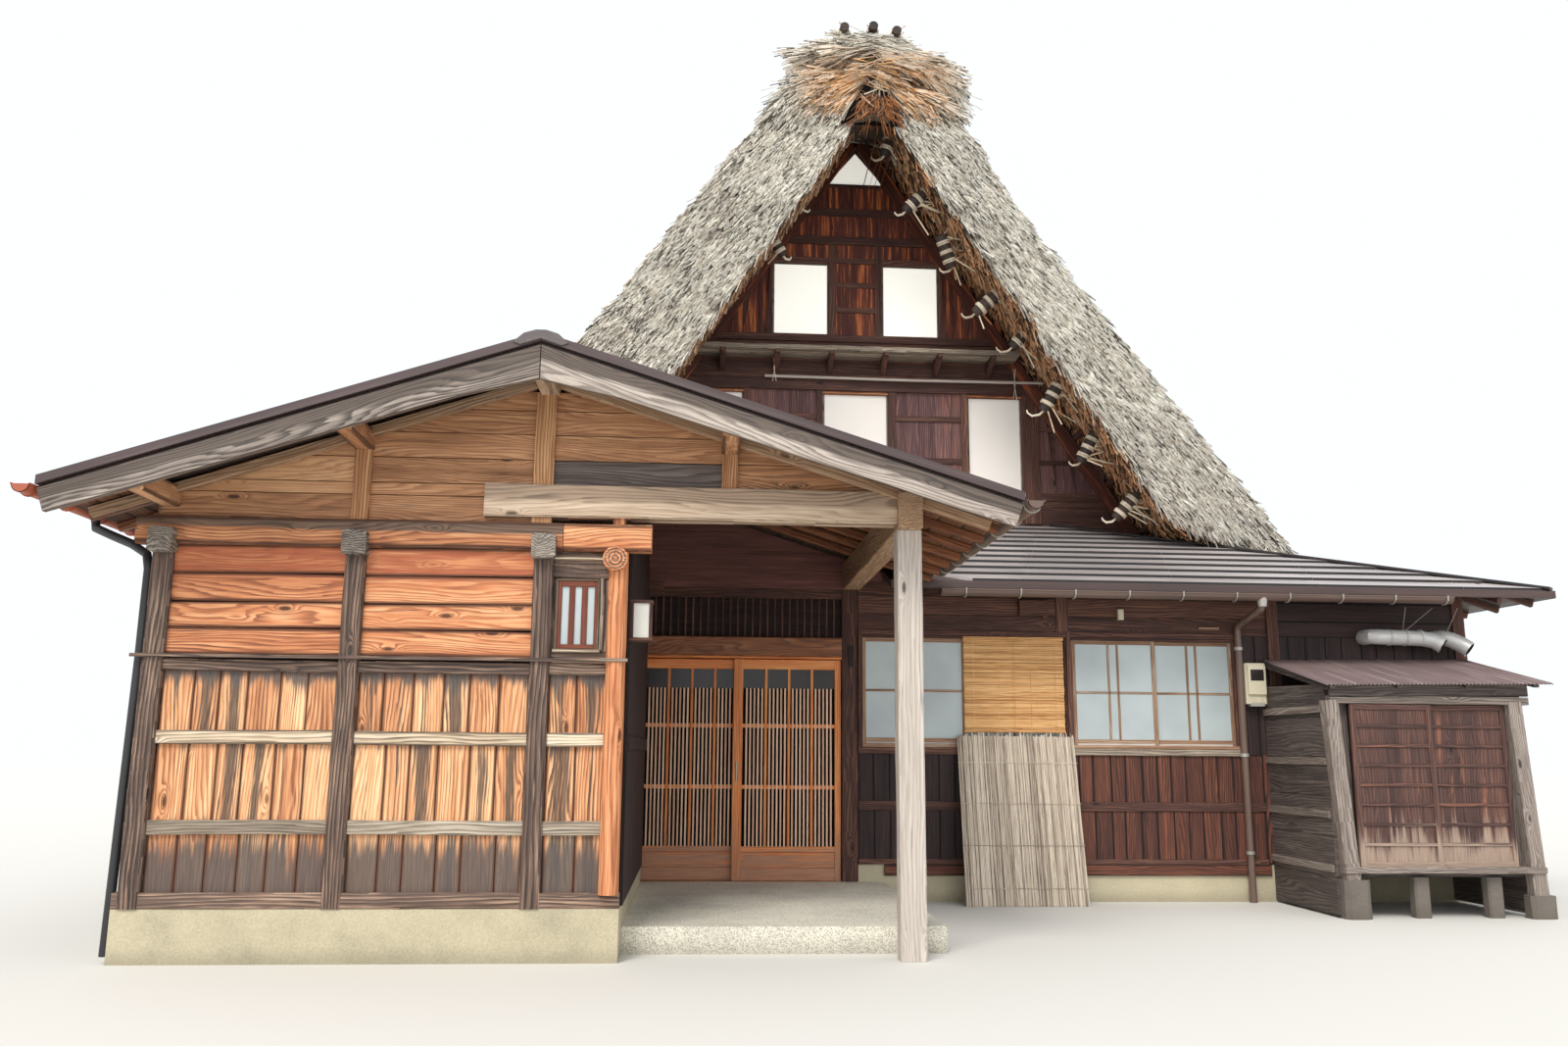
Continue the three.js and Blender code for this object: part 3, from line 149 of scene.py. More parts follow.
def add_camera():
    """The photograph's camera, solved from straight edges of the house."""
    forward = Vector((
        math.sin(CAMERA_YAW) * math.cos(CAMERA_PITCH),
        math.cos(CAMERA_YAW) * math.cos(CAMERA_PITCH),
        math.sin(CAMERA_PITCH)))
    level = Vector((math.cos(CAMERA_YAW), -math.sin(CAMERA_YAW), 0.0))
    upright = level.cross(forward)
    right = level * math.cos(CAMERA_ROLL) + upright * math.sin(CAMERA_ROLL)
    up = upright * math.cos(CAMERA_ROLL) - level * math.sin(CAMERA_ROLL)
    lens = bpy.data.cameras.new("camera")
    lens.lens = FOCAL_LENGTH
    lens.clip_end = 200.0
    camera = bpy.data.objects.new("camera", lens)
    turn = Matrix((right, up, -forward)).transposed().to_4x4()
    camera.matrix_world = Matrix.Translation(CAMERA_PLACE + SHIFT) @ turn
    bpy.context.scene.collection.objects.link(camera)
    bpy.context.scene.camera = camera


def add_light():
    """A soft sun from the front left, a weak fill along the view and a pale sky."""
    for name, energy, width, towards, colour in (
            ("sun", 2.2, 24, (0.35, 0.75, -0.95), (1.0, 0.965, 0.91)),
            ("fill", 0.55, 70, (0.05, 1.0, -0.12), (1.0, 1.0, 1.0))):
        sun = bpy.data.lights.new(name, "SUN")
        sun.energy = energy
        sun.angle = math.radians(width)
        sun.color = colour
        lamp = bpy.data.objects.new(name, sun)
        lamp.rotation_euler = Vector(towards).to_track_quat("-Z", "Y").to_euler()
        bpy.context.scene.collection.objects.link(lamp)
    world = bpy.data.worlds.new("sky")
    world.use_nodes = True
    background = world.node_tree.nodes["Background"]
    background.inputs["Color"].default_value = (0.86, 0.90, 0.95, 1.0)
    background.inputs["Strength"].default_value = 1.15
    bpy.context.scene.world = world
    bpy.context.scene.view_settings.view_transform = "Standard"


def add_ground():
    """A pale floor, staged for the picture only."""
    mesh = bpy.data.meshes.new("floor")
    reach = 60.0
    corners = [(-reach, -reach, 0), (reach, -reach, 0), (reach, reach, 0), (-reach, reach, 0)]
    mesh.from_pydata(corners, [], [(0, 1, 2, 3)])
    ground = bpy.data.objects.new("floor", mesh)
    bpy.context.scene.collection.objects.link(ground)
    net = Net("pale floor")
    net.finish(rgb(214, 211, 204), roughness=0.9)
    mesh.materials.append(net.material)


# Materials

def rgb(red, green, blue):
    """A colour given as the eye reads it, 0 to 255, in Blender's linear values."""
    def linear(value):
        value /= 255
        return value / 12.92 if value <= 0.04045 else ((value + 0.055) / 1.055) ** 2.4
    return (linear(red), linear(green), linear(blue), 1.0)


def tone(colour, share):
    """A linear colour made lighter or darker."""
    return tuple(c * share for c in colour[:3]) + (1.0,)


CAD_SEED = 0.37     # stands in for a board's own seed on a CAD mesh
SEED_REACH = 57.0   # how far apart in the noise two boards' seeds set them


class Net:
    """A material's nodes, with short calls to add them."""

    def __init__(self, name):
        self.material = bpy.data.materials.new(name)
        self.material.use_nodes = True
        self.tree = self.material.node_tree
        self.tree.nodes.clear()

    def put(self, socket, value):
        if isinstance(value, bpy.types.NodeSocket):
            self.tree.links.new(value, socket)
        else:
            socket.default_value = value

    def add(self, kind, inputs, output=0, **settings):
        node = self.tree.nodes.new(kind)
        for key, value in settings.items():
            setattr(node, key, value)
        for key, value in inputs.items():
            self.put(node.inputs[key], value)
        return node.outputs[output]

    def math(self, operation, a, b=0.0):
        return self.add("ShaderNodeMath", {0: a, 1: b}, operation=operation)

    def plus(self, a, b):
        return self.math("ADD", a, b)

    def less(self, a, b):
        return self.math("SUBTRACT", a, b)

    def times(self, a, b):
        return self.math("MULTIPLY", a, b)

    def vector(self, x, y, z):
        return self.add("ShaderNodeCombineXYZ", {0: x, 1: y, 2: z})

    def parts(self, vector):
        node = self.tree.nodes.new("ShaderNodeSeparateXYZ")
        self.put(node.inputs[0], vector)
        return node.outputs[0], node.outputs[1], node.outputs[2]

    def place(self):
        return self.add("ShaderNodeTexCoord", {}, output="Object")

    def noise(self, vector, scale=1.0, detail=2.0, rough=0.5):
        return self.add("ShaderNodeTexNoise", {
            "Vector": vector, "Scale": scale, "Detail": detail, "Roughness": rough})

    def chance(self, value):
        return self.add("ShaderNodeTexWhiteNoise", {"W": value}, noise_dimensions="1D")

    def cells(self, vector, scale=1.0):
        """The distance to the nearest cell's middle, and that cell's lot."""
        node = self.tree.nodes.new("ShaderNodeTexVoronoi")
        self.put(node.inputs["Vector"], vector)
        node.inputs["Scale"].default_value = scale
        return node.outputs["Distance"], self.parts(node.outputs["Color"])[0]

    def spread(self, value, low, high, to_low=0.0, to_high=1.0):
        """Eases value from to_low at low to to_high at high."""
        return self.add("ShaderNodeMapRange", {
            "Value": value, "From Min": low, "From Max": high, "To Min": to_low, "To Max": to_high,
        }, interpolation_type="SMOOTHSTEP")

    def mix(self, share, a, b, blend="MIX"):
        node = self.tree.nodes.new("ShaderNodeMix")
        node.data_type = "RGBA"
        node.blend_type = blend
        for index, value in ((0, share), (6, a), (7, b)):
            self.put(node.inputs[index], value)
        return node.outputs[2]

    def ramp(self, value, stops):
        node = self.tree.nodes.new("ShaderNodeValToRGB")
        elements = node.color_ramp.elements
        while len(elements) < len(stops):
            elements.new(0.5)
        for element, (position, colour) in zip(elements, stops):
            element.position = position
            element.color = colour
        self.put(node.inputs[0], value)
        return node.outputs[0]

    def bump(self, height, distance):
        return self.add("ShaderNodeBump", {"Height": height, "Distance": distance, "Strength": 1.0})

    def attribute(self, name):
        return self.parts(self.add("ShaderNodeAttribute", {}, output="Vector", attribute_name=name))

    def grain(self, source):
        """Along and across the grain, and the piece's seed. A CAD mesh uses its place instead."""
        if source == "grain":
            return self.attribute("grain")
        rest = list(self.parts(self.place()))
        along = rest.pop("xyz".index(source))
        return along, self.plus(*rest), CAD_SEED

    def face(self):
        """The place across a face from 0 to 1, the face's width, and the place along it."""
        return self.attribute("face")

    def finish(self, colour, roughness=0.7, normal=None, **sockets):
        shader = self.tree.nodes.new("ShaderNodeBsdfPrincipled")
        self.put(shader.inputs["Base Color"], colour)
        self.put(shader.inputs["Roughness"], roughness)
        if normal is not None:
            self.put(shader.inputs["Normal"], normal)
        for key, value in sockets.items():
            shader.inputs[key.replace("_", " ")].default_value = value
        out = self.tree.nodes.new("ShaderNodeOutputMaterial")
        self.tree.links.new(shader.outputs[0], out.inputs["Surface"])
        return self.material


def wood(name, dark, middle, light, rings=55.0, figure=9.0, knots=0.4, lot=0.3, weather=None, worn=0.3,
         core=0.0, seam=None, bands=None, band_tone=None, streak=None, split=None, split_at=0.53, lines=0.40,
         source="grain", rough=0.8, relief=0.0016):
    """Sawn timber: growth rings bent by knots and figure, a tone of its own per board, and weathering.

    weather is the grey that worn streaks turn to, and core draws them to the middle of each board.
    seam darkens the board's edges: partly grime, partly painted shade in the joints between boards. The
    height table gives (height, amount) of the band colour up the wall. streak is (colour, low, high) for long
    worn streaks. split is a darker upper part of each board.
    """
    net = Net(name)
    plus, times, less, spread = net.plus, net.times, net.less, net.spread
    dark, middle, light, weather, band_tone, split = (
        colour and rgb(*colour) for colour in (dark, middle, light, weather, band_tone, split))
    along, across, seed = net.grain(source)
    shift = times(seed, SEED_REACH)

    def grain_noise(along_scale, across_scale, **settings):
        where = net.vector(times(along, along_scale), times(across, across_scale), shift)
        return net.noise(where, **settings)

    def centred(value, share):
        """A noise's swing about its middle, as a share."""
        return times(less(value, 0.5), share)

    bend = grain_noise(0.9, 4.5, detail=1.0)
    distance, cell_lot = net.cells(net.vector(times(along, 2.4), times(across, 7.0), shift))
    lucky = net.math("LESS_THAN", cell_lot, knots)
    near = times(spread(distance, 0.40, 0.0), lucky)
    field = plus(plus(times(across, rings), centred(bend, figure)), times(times(near, near), 3.2))
    ring = net.math("FRACT", plus(field, times(grain_noise(3.0, 60.0, detail=1.0), 0.9)))
    run = grain_noise(1.1, 19.0, detail=4.0, rough=0.65)
    fine = grain_noise(6.0, 240.0, detail=1.0)
    line = times(spread(ring, 0.25, 0.85), spread(ring, 1.0, 0.90))
    line = times(line, spread(run, 0.30, 0.62, 0.35, 1.0))
    own = centred(net.chance(seed), lot)
    value = plus(plus(0.56, own), centred(run, 1.1))
    value = plus(less(value, times(line, lines)), centred(fine, 0.45))
    colour = net.ramp(value, [(0.10, dark), (0.46, middle), (0.82, light)])
    if streak is not None:
        shown, low, high = streak
        shown = rgb(*shown)
        colour = net.mix(spread(plus(run, times(own, 0.4)), low, high), colour,
                         net.mix(line, tone(shown, 1.15), tone(shown, 0.55)))
    knot = times(spread(distance, 0.13, 0.05), lucky)
    colour = net.mix(times(knot, 0.9), colour, tone(dark, 0.30))
    if weather is not None:
        patch = net.noise(net.place(), 0.9, 2.0)
        chance = net.chance(plus(seed, 7.3))
        edge = plus(plus(times(run, 0.80), times(patch, 0.30)), times(chance, 0.46 if core else 0.22))
        if core:
            inward = less(1.0, net.math("ABSOLUTE", less(times(net.face()[0], 2.0), 1.0)))
            edge = plus(edge, centred(inward, core))
        edge = plus(plus(edge, centred(fine, 0.35)), times(less(line, 0.4), 0.12))
        grey = net.mix(spread(fine, 0.25, 0.75), tone(weather, 0.30), tone(weather, 1.7))
        grey = net.mix(times(line, 0.55), grey, tone(weather, 0.35))
        threshold = 0.93 - worn * 0.5
        colour = net.mix(spread(edge, threshold, threshold + 0.15, 0.0, 0.92), colour, grey)
    if split is not None:
        part = plus(net.face()[0], centred(run, 0.5))
        upper = net.mix(line, tone(split, 1.1), tone(split, 0.45))
        colour = net.mix(spread(part, split_at - 0.07, split_at + 0.07), colour, upper)
    # Bands by height: the band colour mixed in as the height table gives.
    if bands is not None:
        top = bands[-1][0]
        stops = [(z / top, (amount, amount, amount, 1.0)) for z, amount in bands]
        amount = net.ramp(net.math("DIVIDE", net.parts(net.place())[2], top), stops)
        banded = net.mix(fine, tone(band_tone, 0.5), tone(band_tone, 1.5))
        colour = net.mix(times(spread(plus(amount, centred(run, 1.5)), 0.32, 0.70), 0.92), colour, banded)
    # Darker along each board's edges: partly grime, partly painted shade where the boards meet.
    if seam is not None:
        share, width, _ = net.face()
        inset = times(net.math("MINIMUM", share, less(1.0, share)), width)
        inset = plus(inset, centred(run, 0.022))
        colour = net.mix(spread(inset, seam, 0.001, 0.0, 0.85), colour, tone(dark, 0.38))
    height = less(less(times(fine, 0.35), times(line, 0.55)), times(knot, 0.5))
    return net.finish(colour, spread(line, 0.0, 1.0, rough, rough - 0.12), net.bump(height, relief))


def sheet_metal(name, colour, edge=None, rough=0.42, metallic=0.0, dust_and_sheen=0.25, source="grain"):
    """Painted or bare sheet: slow colour drift, dust in long runs and faint dents. On the roof sheets the
    pale runs are also painted sheen.
    """
    net = Net(name)
    colour, edge = rgb(*colour), edge and rgb(*edge)
    along, across, seed = net.grain(source)
    drift = net.noise(net.place(), 0.9, 3.0)
    run = net.noise(
        net.vector(net.times(along, 1.2), net.times(across, 30.0), net.times(seed, SEED_REACH)), detail=3.0)
    own = net.times(net.less(net.chance(seed), 0.5), 0.25)
    value = net.plus(net.plus(net.times(drift, 0.6), net.times(run, 0.4)), own)
    body = net.ramp(value, [(0.25, tone(colour, 0.72)), (0.5, colour), (0.75, tone(colour, 1.3))])
    if edge is not None:
        # Runs in the edge colour: dust, and on the roof sheets painted sheen as well.
        body = net.mix(net.spread(run, 0.5, 0.75, 0.0, dust_and_sheen), body, edge)
    dent = net.noise(net.place(), 7.0, 2.0)
    return net.finish(body, net.spread(run, 0.3, 0.7, rough - 0.07, rough + 0.12),
                      net.bump(dent, 0.0012), Metallic=metallic)


def concrete(name, colour, stone=0.0):
    """Weathered cement, or with stone above 0 a scatter of small pebbles in it."""
    net = Net(name)
    colour = rgb(*colour)
    place = net.place()
    patch = net.noise(place, 1.3, 5.0, 0.65)
    grit = net.noise(place, 90.0, 2.0)
    body = net.ramp(patch, [(0.3, tone(colour, 0.66)), (0.52, colour), (0.7, tone(colour, 1.16))])
    body = net.mix(0.25, body, net.ramp(grit, [(0.3, tone(colour, 0.5)), (0.7, tone(colour, 1.3))]))
    height = net.plus(net.times(patch, 0.4), net.times(grit, 0.3))
    if stone > 0:
        distance, lot = net.cells(place, 110.0)
        pebble = net.ramp(lot, [(0.0, rgb(96, 92, 86)), (0.5, rgb(150, 146, 138)), (1.0, rgb(206, 200, 190))])
        body = net.mix(net.spread(distance, 0.55, 0.35, 0.0, stone), body, pebble)
        height = net.less(height, net.times(distance, 0.4))
    foot = net.spread(net.parts(place)[2], 0.12, 0.0, 0.0, 0.35)
    return net.finish(net.mix(foot, body, rgb(92, 84, 72)), 0.9, net.bump(height, 0.004))


def pane(name, colour, rough, cloud=0.12, sheen=0.5, painted_glow=0.0):
    """Frosted glass or paper: an even pale face with faint clouding. Its glow is painted light: an emission
    that brightens the pane as if daylight shone through it.
    """
    net = Net(name)
    colour = rgb(*colour)
    cloudy = net.noise(net.place(), 1.6, 3.0)
    body = net.ramp(cloudy, [(0.3, tone(colour, 1.0 - cloud)), (0.7, tone(colour, 1.0 + cloud * 0.4))])
    return net.finish(body, rough, Specular_IOR_Level=sheen, Emission_Strength=painted_glow, Emission_Color=colour)


def straw(name, dark, middle, light, tint=None):
    """Reed stems.

    With a tint, the grain holds the place along a stem, how much of the tint it has, and its seed. The place
    along paints shade: each stem is darker towards its root and darkest at its cut end.
    Without one, it is rope or split straw, twisted along its grain.
    """
    net = Net(name)
    dark, middle, light, tint = (colour and rgb(*colour) for colour in (dark, middle, light, tint))
    along, amount, seed = net.grain("grain")
    patch = net.noise(net.place(), 1.3, 3.0, 0.6)
    value = net.plus(net.plus(net.times(net.chance(seed), 0.86), net.times(patch, 0.30)), -0.14)
    # Painted shade: darker towards the root, where stems overlap, and darkest at the cut end.
    if tint is not None:
        value = net.plus(value, net.times(along, 0.20))
    else:
        twist = net.noise(net.vector(net.times(along, 40.0), net.times(amount, 40.0), seed))
        value = net.plus(net.times(value, 0.4), net.times(twist, 0.6))
    body = net.ramp(value, [(0.23, dark), (0.45, middle), (0.76, light)])
    if tint is not None:
        warm = net.ramp(value, [(0.23, tone(tint, 0.22)), (0.46, tint), (0.84, tone(tint, 1.6))])
        body = net.mix(amount, body, warm)
    return net.finish(body, 0.85, Specular_IOR_Level=0.2)


# Solids

class Piece:
    """Collects closed solids, each with its grain direction and seed, and makes one mesh of them."""

    def __init__(self, name, *materials):
        self.name = name
        self.materials = materials
        self.points = []
        self.faces = []
        self.facts = []       # per face: grain direction, seed, material, smooth
        self.shares = []      # per corner: place across the face, the face's width, place along it
        self.mirror = False   # at the back of the house, y counts from the other end

    def loft(self, rings, grain=None, skin=0, seed=None, smooth=False):
        """A closed solid through rings of as many points each."""
        rings = [[Vector(p) for p in ring] for ring in rings]
        if self.mirror:
            rings = [[Vector((p.x, 2 * CENTRE_Y - p.y, p.z)) for p in ring] for ring in rings]
        seed = rng.random() if seed is None else seed
        count = len(rings[0])
        middles = [sum(ring, Vector()) / count for ring in rings]
        first = rings[0]
        turn = sum(((first[i] - middles[0]).cross(first[(i + 1) % count] - middles[0])
                    for i in range(count)), Vector())
        if turn.dot(middles[-1] - middles[0]) < 0:
            rings = [list(reversed(ring)) for ring in rings]
        start = len(self.points)
        for ring in rings:
            self.points.extend(ring)
        for i in range(len(rings) - 1):
            direction = (middles[i + 1] - middles[i]) if grain is None else Vector(grain)
            a = start + i * count
            low, high = i / (len(rings) - 1), (i + 1) / (len(rings) - 1)
            for k in range(count):
                n = (k + 1) % count
                width = (rings[i][n] - rings[i][k]).length
                self.shares.extend([(0, width, low), (1, width, low), (1, width, high), (0, width, high)])
                self.faces.append((a + k, a + n, a + count + n, a + count + k))
                self.facts.append((direction, seed, skin, smooth))
        last = start + (len(rings) - 1) * count
        ends = [(tuple(range(start + count - 1, start - 1, -1)), middles[1] - middles[0]),
                (tuple(range(last, last + count)), middles[-1] - middles[-2])]
        for face, direction in ends:
            self.shares.extend([(0.5, 1.0, 0.5)] * count)
            self.faces.append(face)
            self.facts.append((direction if grain is None else Vector(grain), seed, skin, False))

    def prism(self, outline, axis, low, high, grain=None, skin=0):
        """An outline in the two other axes, in x, y, z order, drawn out along the named axis."""
        index = "xyz".index(axis)
        rings = []
        for end in (low, high):
            points = [list(pair) for pair in outline]
            for point in points:
                point.insert(index, end)
            rings.append(points)
        self.loft(rings, grain, skin)

    def box(self, low, high, grain="x", skin=0, bevel=0.003):
        """An upright block with its long edges eased. Its grain runs along the named axis."""
        axis = "xyz".index(grain)
        u, v = [i for i in range(3) if i != axis]
        c = min(bevel, (high[u] - low[u]) * 0.3, (high[v] - low[v]) * 0.3)
        section = [
            (low[u] + c, low[v]), (high[u] - c, low[v]), (high[u], low[v] + c), (high[u], high[v] - c),
            (high[u] - c, high[v]), (low[u] + c, high[v]), (low[u], high[v] - c), (low[u], low[v] + c)]
        if bevel <= 0:
            section = [(low[u], low[v]), (high[u], low[v]), (high[u], high[v]), (low[u], high[v])]
        self.prism(section, grain, low[axis], high[axis], None, skin)

    def bar(self, start, end, width, height, up=(0, 0, 1), skin=0, bevel=0.004, cuts=1, wobble=0.0):
        """A straight member. Its height lies along up, and wobble roughens its edges."""
        start, end = Vector(start), Vector(end)
        direction = (end - start).normalized()
        side = direction.cross(Vector(up)).normalized()
        rise = side.cross(direction)
        seed = rng.random()
        w, h = width / 2, height / 2
        c = min(bevel, w * 0.6, h * 0.6)
        section = [(-w + c, -h), (w - c, -h), (w, -h + c), (w, h - c),
                   (w - c, h), (-w + c, h), (-w, h - c), (-w, -h + c)]
        rings = []
        for i in range(cuts + 1):
            centre = start.lerp(end, i / cuts)
            ring = []
            for k, (a, b) in enumerate(section):
                spot = Vector((seed * 91 + k * 3.7, (centre - start).length * 2.3, seed * 17))
                push = Vector((noise.noise(spot), noise.noise(spot + Vector((9.1, 0, 0)))))
                ring.append(centre + side * (a + push.x * wobble) + rise * (b + push.y * wobble))
            rings.append(ring)
        self.loft(rings, direction, skin, seed)

    def post(self, x, y, low, high, width, depth, skin=0, bevel=0.004, cuts=1, wobble=0.0):
        """An upright bar, seen from the front width wide."""
        self.bar((x, y, low), (x, y, high), width, depth, (0, -1, 0), skin, bevel, cuts, wobble)

    def tube(self, path, radius, sides=10, skin=0, smooth=True):
        """A round member along a path. radius is one number, or one for each point of the path."""
        path = [Vector(p) for p in path]
        radii = radius if isinstance(radius, (list, tuple)) else [radius] * len(path)
        angles = [k * math.tau / sides for k in range(sides)]
        rings = []
        side = None
        for i, point in enumerate(path):
            ahead = (path[min(i + 1, len(path) - 1)] - path[max(i - 1, 0)]).normalized()
            if side is None:
                side = ahead.orthogonal().normalized()
            side = (side - ahead * side.dot(ahead)).normalized()
            other = ahead.cross(side)
            rings.append([point + (side * math.cos(a) + other * math.sin(a)) * radii[i] for a in angles])
        self.loft(rings, None, skin, smooth=smooth)

    def make(self, body="house", replaces=()):
        """Makes one mesh of the solids, with the grain and face attributes that the materials read."""
        mesh = bpy.data.meshes.new(self.name)
        mesh.from_pydata([tuple(p + SHIFT) for p in self.points], [], self.faces)
        for material in self.materials:
            mesh.materials.append(material)
        count = len(self.faces)
        mesh.polygons.foreach_set("material_index", [fact[2] for fact in self.facts])
        mesh.polygons.foreach_set("use_smooth", [fact[3] for fact in self.facts])
        normals = np.empty(count * 3)
        mesh.polygons.foreach_get("normal", normals)
        normals = normals.reshape(-1, 3)
        direction = np.array([fact[0].normalized() for fact in self.facts])
        seeds = np.array([fact[1] for fact in self.facts])
        across = np.cross(normals, direction)
        size = np.linalg.norm(across, axis=1)
        end_grain = size < 0.5
        swap = np.where(np.abs(normals[:, :1]) < 0.7, [[1.0, 0.0, 0.0]], [[0.0, 1.0, 0.0]])
        flat = swap - normals * np.sum(swap * normals, axis=1, keepdims=True)
        direction[end_grain] = flat[end_grain] * 12
        across[end_grain] = np.cross(normals, flat)[end_grain] * 1.5
        across[~end_grain] /= size[~end_grain, None]
        totals = np.empty(count, np.int32)
        mesh.polygons.foreach_get("loop_total", totals)
        owner = np.repeat(np.arange(count), totals)
        corner = np.empty(len(mesh.loops), np.int32)
        mesh.loops.foreach_get("vertex_index", corner)
        place = np.array(self.points)[corner]
        set_corners(mesh, "grain", np.stack([
            np.sum(place * direction[owner], axis=1),
            np.sum(place * across[owner], axis=1),
            seeds[owner]], axis=1))
        shares = np.array(self.shares, np.float32)
        heights = place[:, 2]
        turned = upside_down(heights, shares, totals)
        shares[turned, 0] = 1 - shares[turned, 0]
        set_corners(mesh, "face", shares)
        if any(fact[3] for fact in self.facts):
            mesh.set_sharp_from_angle(angle=math.radians(40))
        return attach(bpy.data.objects.new(self.name, mesh), body, replaces)


def set_corners(mesh, name, values):
    """Stores a vector for each corner of a mesh, which the materials read by its name."""
    layer = mesh.attributes.new(name, "FLOAT_VECTOR", "CORNER")
    layer.data.foreach_set("vector", values.astype(np.float32).ravel())


def upside_down(heights, shares, totals):
    """Marks the corners of faces whose place across falls as they rise."""
    starts = np.concatenate([[0], np.cumsum(totals)[:-1]])
    lean = (shares[:, 0] - 0.5) * heights
    falling = np.add.reduceat(lean, starts) < 0
    return np.repeat(falling, totals)


def attach(piece, body="house", replaces=()):
    """Links a piece, states its body, and hides the CAD nodes it stands for."""
    bpy.context.scene.collection.objects.link(piece)
    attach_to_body(piece, body)
    if replaces:
        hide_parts(*replaces)
    return piece


def row_of(start, end, count, gap=0.003):
    """Boards side by side from start to end, as (low, high) with a small joint between them."""
    cuts = [start + (end - start) * i / count for i in range(count + 1)]
    for i in range(1, count):
        cuts[i] += rng.uniform(-0.12, 0.12) * (end - start) / count
    return [(cuts[i] + gap / 2, cuts[i + 1] - gap / 2) for i in range(count)]


def between(start, spans, end):
    """The stretches from start to end that the spans leave open."""
    edges = [start, *(edge for span in spans for edge in span), end]
    return list(zip(edges[::2], edges[1::2]))


# Wood and other finishes

# The band colour darkens these boards at their foot and just below the upper two rails.
ORANGE_BOARDS = wood(
    "orange boards", (132, 74, 42), (224, 160, 112), (252, 212, 164), rings=46, lot=0.34,
    weather=(98, 78, 64), worn=0.17, core=0.42, seam=0.013, band_tone=(86, 78, 74),
    bands=[(0.0, 1.0), (0.42, 1.0), (0.56, 0.78), (0.70, 0.42), (0.79, 0.30), (0.88, 0.0), (1.08, 0.0),
           (1.21, 0.42), (1.30, 0.05), (1.46, 0.05), (1.56, 0.40), (1.66, 0.95), (4.0, 0.2)])
# The band colour darkens these planks towards their top, just below the head beam.
ORANGE_PLANKS = wood(
    "orange planks", (114, 62, 38), (206, 131, 86), (236, 183, 134), rings=40, figure=13, lot=0.26,
    knots=0.66, weather=(84, 60, 50), worn=0.16, seam=0.020, band_tone=(166, 88, 56), relief=0.002,
    bands=[(0.0, 0.0), (1.94, 0.0), (2.10, 0.28), (2.24, 0.58), (2.38, 0.58), (2.40, 0.0), (3.0, 0.0)])
ORANGE_BEAM = wood(
    "orange beam", (96, 54, 34), (182, 116, 76), (218, 164, 118), rings=36, figure=12, lot=0.0,
    knots=0.6, weather=(100, 82, 70), worn=0.1, seam=0.02, split=(112, 88, 72), split_at=0.62)
LOG_WOOD = wood(
    "log wood", (124, 66, 38), (210, 136, 90), (238, 178, 130), rings=30, figure=4, lot=0.1,
    weather=(110, 80, 62), worn=0.14)
RAIL_WOOD = wood(
    "rail wood", (116, 94, 76), (211, 190, 161), (238, 225, 202), rings=50, figure=7, knots=0.45,
    weather=(112, 104, 98), worn=0.28, seam=0.010)
POST_WOOD = wood(
    "post wood", (46, 36, 31), (110, 88, 76), (192, 160, 134), rings=40, figure=5, knots=0.3,
    weather=(104, 92, 82), worn=0.28, relief=0.004)
BLOCK_WOOD = wood(
    "beam end wood", (58, 50, 44), (120, 110, 100), (176, 166, 152), rings=36, figure=6, knots=0.0,
    weather=(100, 92, 84), worn=0.3, relief=0.006)
GABLE_BOARDS = wood(
    "gable boards", (106, 70, 46), (184, 132, 93), (221, 175, 131), rings=40, figure=14, lot=0.36,
    knots=0.4, weather=(112, 86, 68), worn=0.24, seam=0.022, lines=0.26)
STRUT_WOOD = wood(
    "strut wood", (110, 66, 40), (176, 126, 84), (214, 170, 126), rings=50, figure=6, lot=0.2,
    weather=(150, 128, 106), worn=0.34)
VERGE_WOOD = wood(
    "verge wood", (62, 54, 48), (144, 131, 121), (196, 183, 171), rings=36, figure=13, knots=0.3,
    weather=(118, 104, 92), worn=0.26, split=(98, 86, 78), relief=0.004)
BEAM_WOOD = wood(
    "beam wood", (128, 105, 84), (197, 172, 146), (226, 206, 182), rings=34, figure=12, lot=0.0,
    weather=(146, 130, 114), worn=0.16, split=(166, 142, 120), split_at=0.50, lines=0.26)
PORCH_WOOD = wood(
    "porch post wood", (138, 127, 116), (190, 179, 168), (215, 206, 196), rings=40, figure=6, knots=0.3,
    weather=(150, 141, 132), worn=0.18, relief=0.0008, lines=0.24)
UNDER_WOOD = wood(
    "underside wood", (94, 68, 48), (156, 122, 92), (198, 166, 134), rings=40, lot=0.4,
    weather=(116, 102, 90), worn=0.36)
DECK_WOOD = wood(
    "deck wood", (58, 34, 24), (104, 66, 42), (146, 100, 66), rings=36, lot=0.4,
    weather=(66, 56, 50), worn=0.40, seam=0.012)
EAVE_WOOD = wood(
    "pale eave wood", (96, 84, 72), (158, 144, 126), (200, 188, 168), rings=50, lot=0.3,
    weather=(92, 84, 76), worn=0.30)
MAROON_BOARDS = wood(
    "maroon boards", (48, 24, 20), (96, 47, 38), (148, 75, 56), rings=50, knots=0.1, lot=0.2,
    seam=0.012, streak=((206, 116, 62), 0.50, 0.66))
RED_SASH = wood(
    "red brown sash", (70, 34, 24), (116, 60, 42), (146, 84, 60), rings=70, figure=3, knots=0.0, lot=0.1)
MAROON_FRAME = wood(
    "maroon frame", (38, 23, 20), (83, 51, 42), (128, 89, 71), rings=44, knots=0.2,
    weather=(116, 92, 76), worn=0.12)
SOFFIT_BOARD = wood(
    "soffit board", (40, 20, 16), (84, 42, 30), (140, 76, 50), rings=50, knots=0.1, lot=0.1,
    streak=((190, 104, 60), 0.52, 0.70))
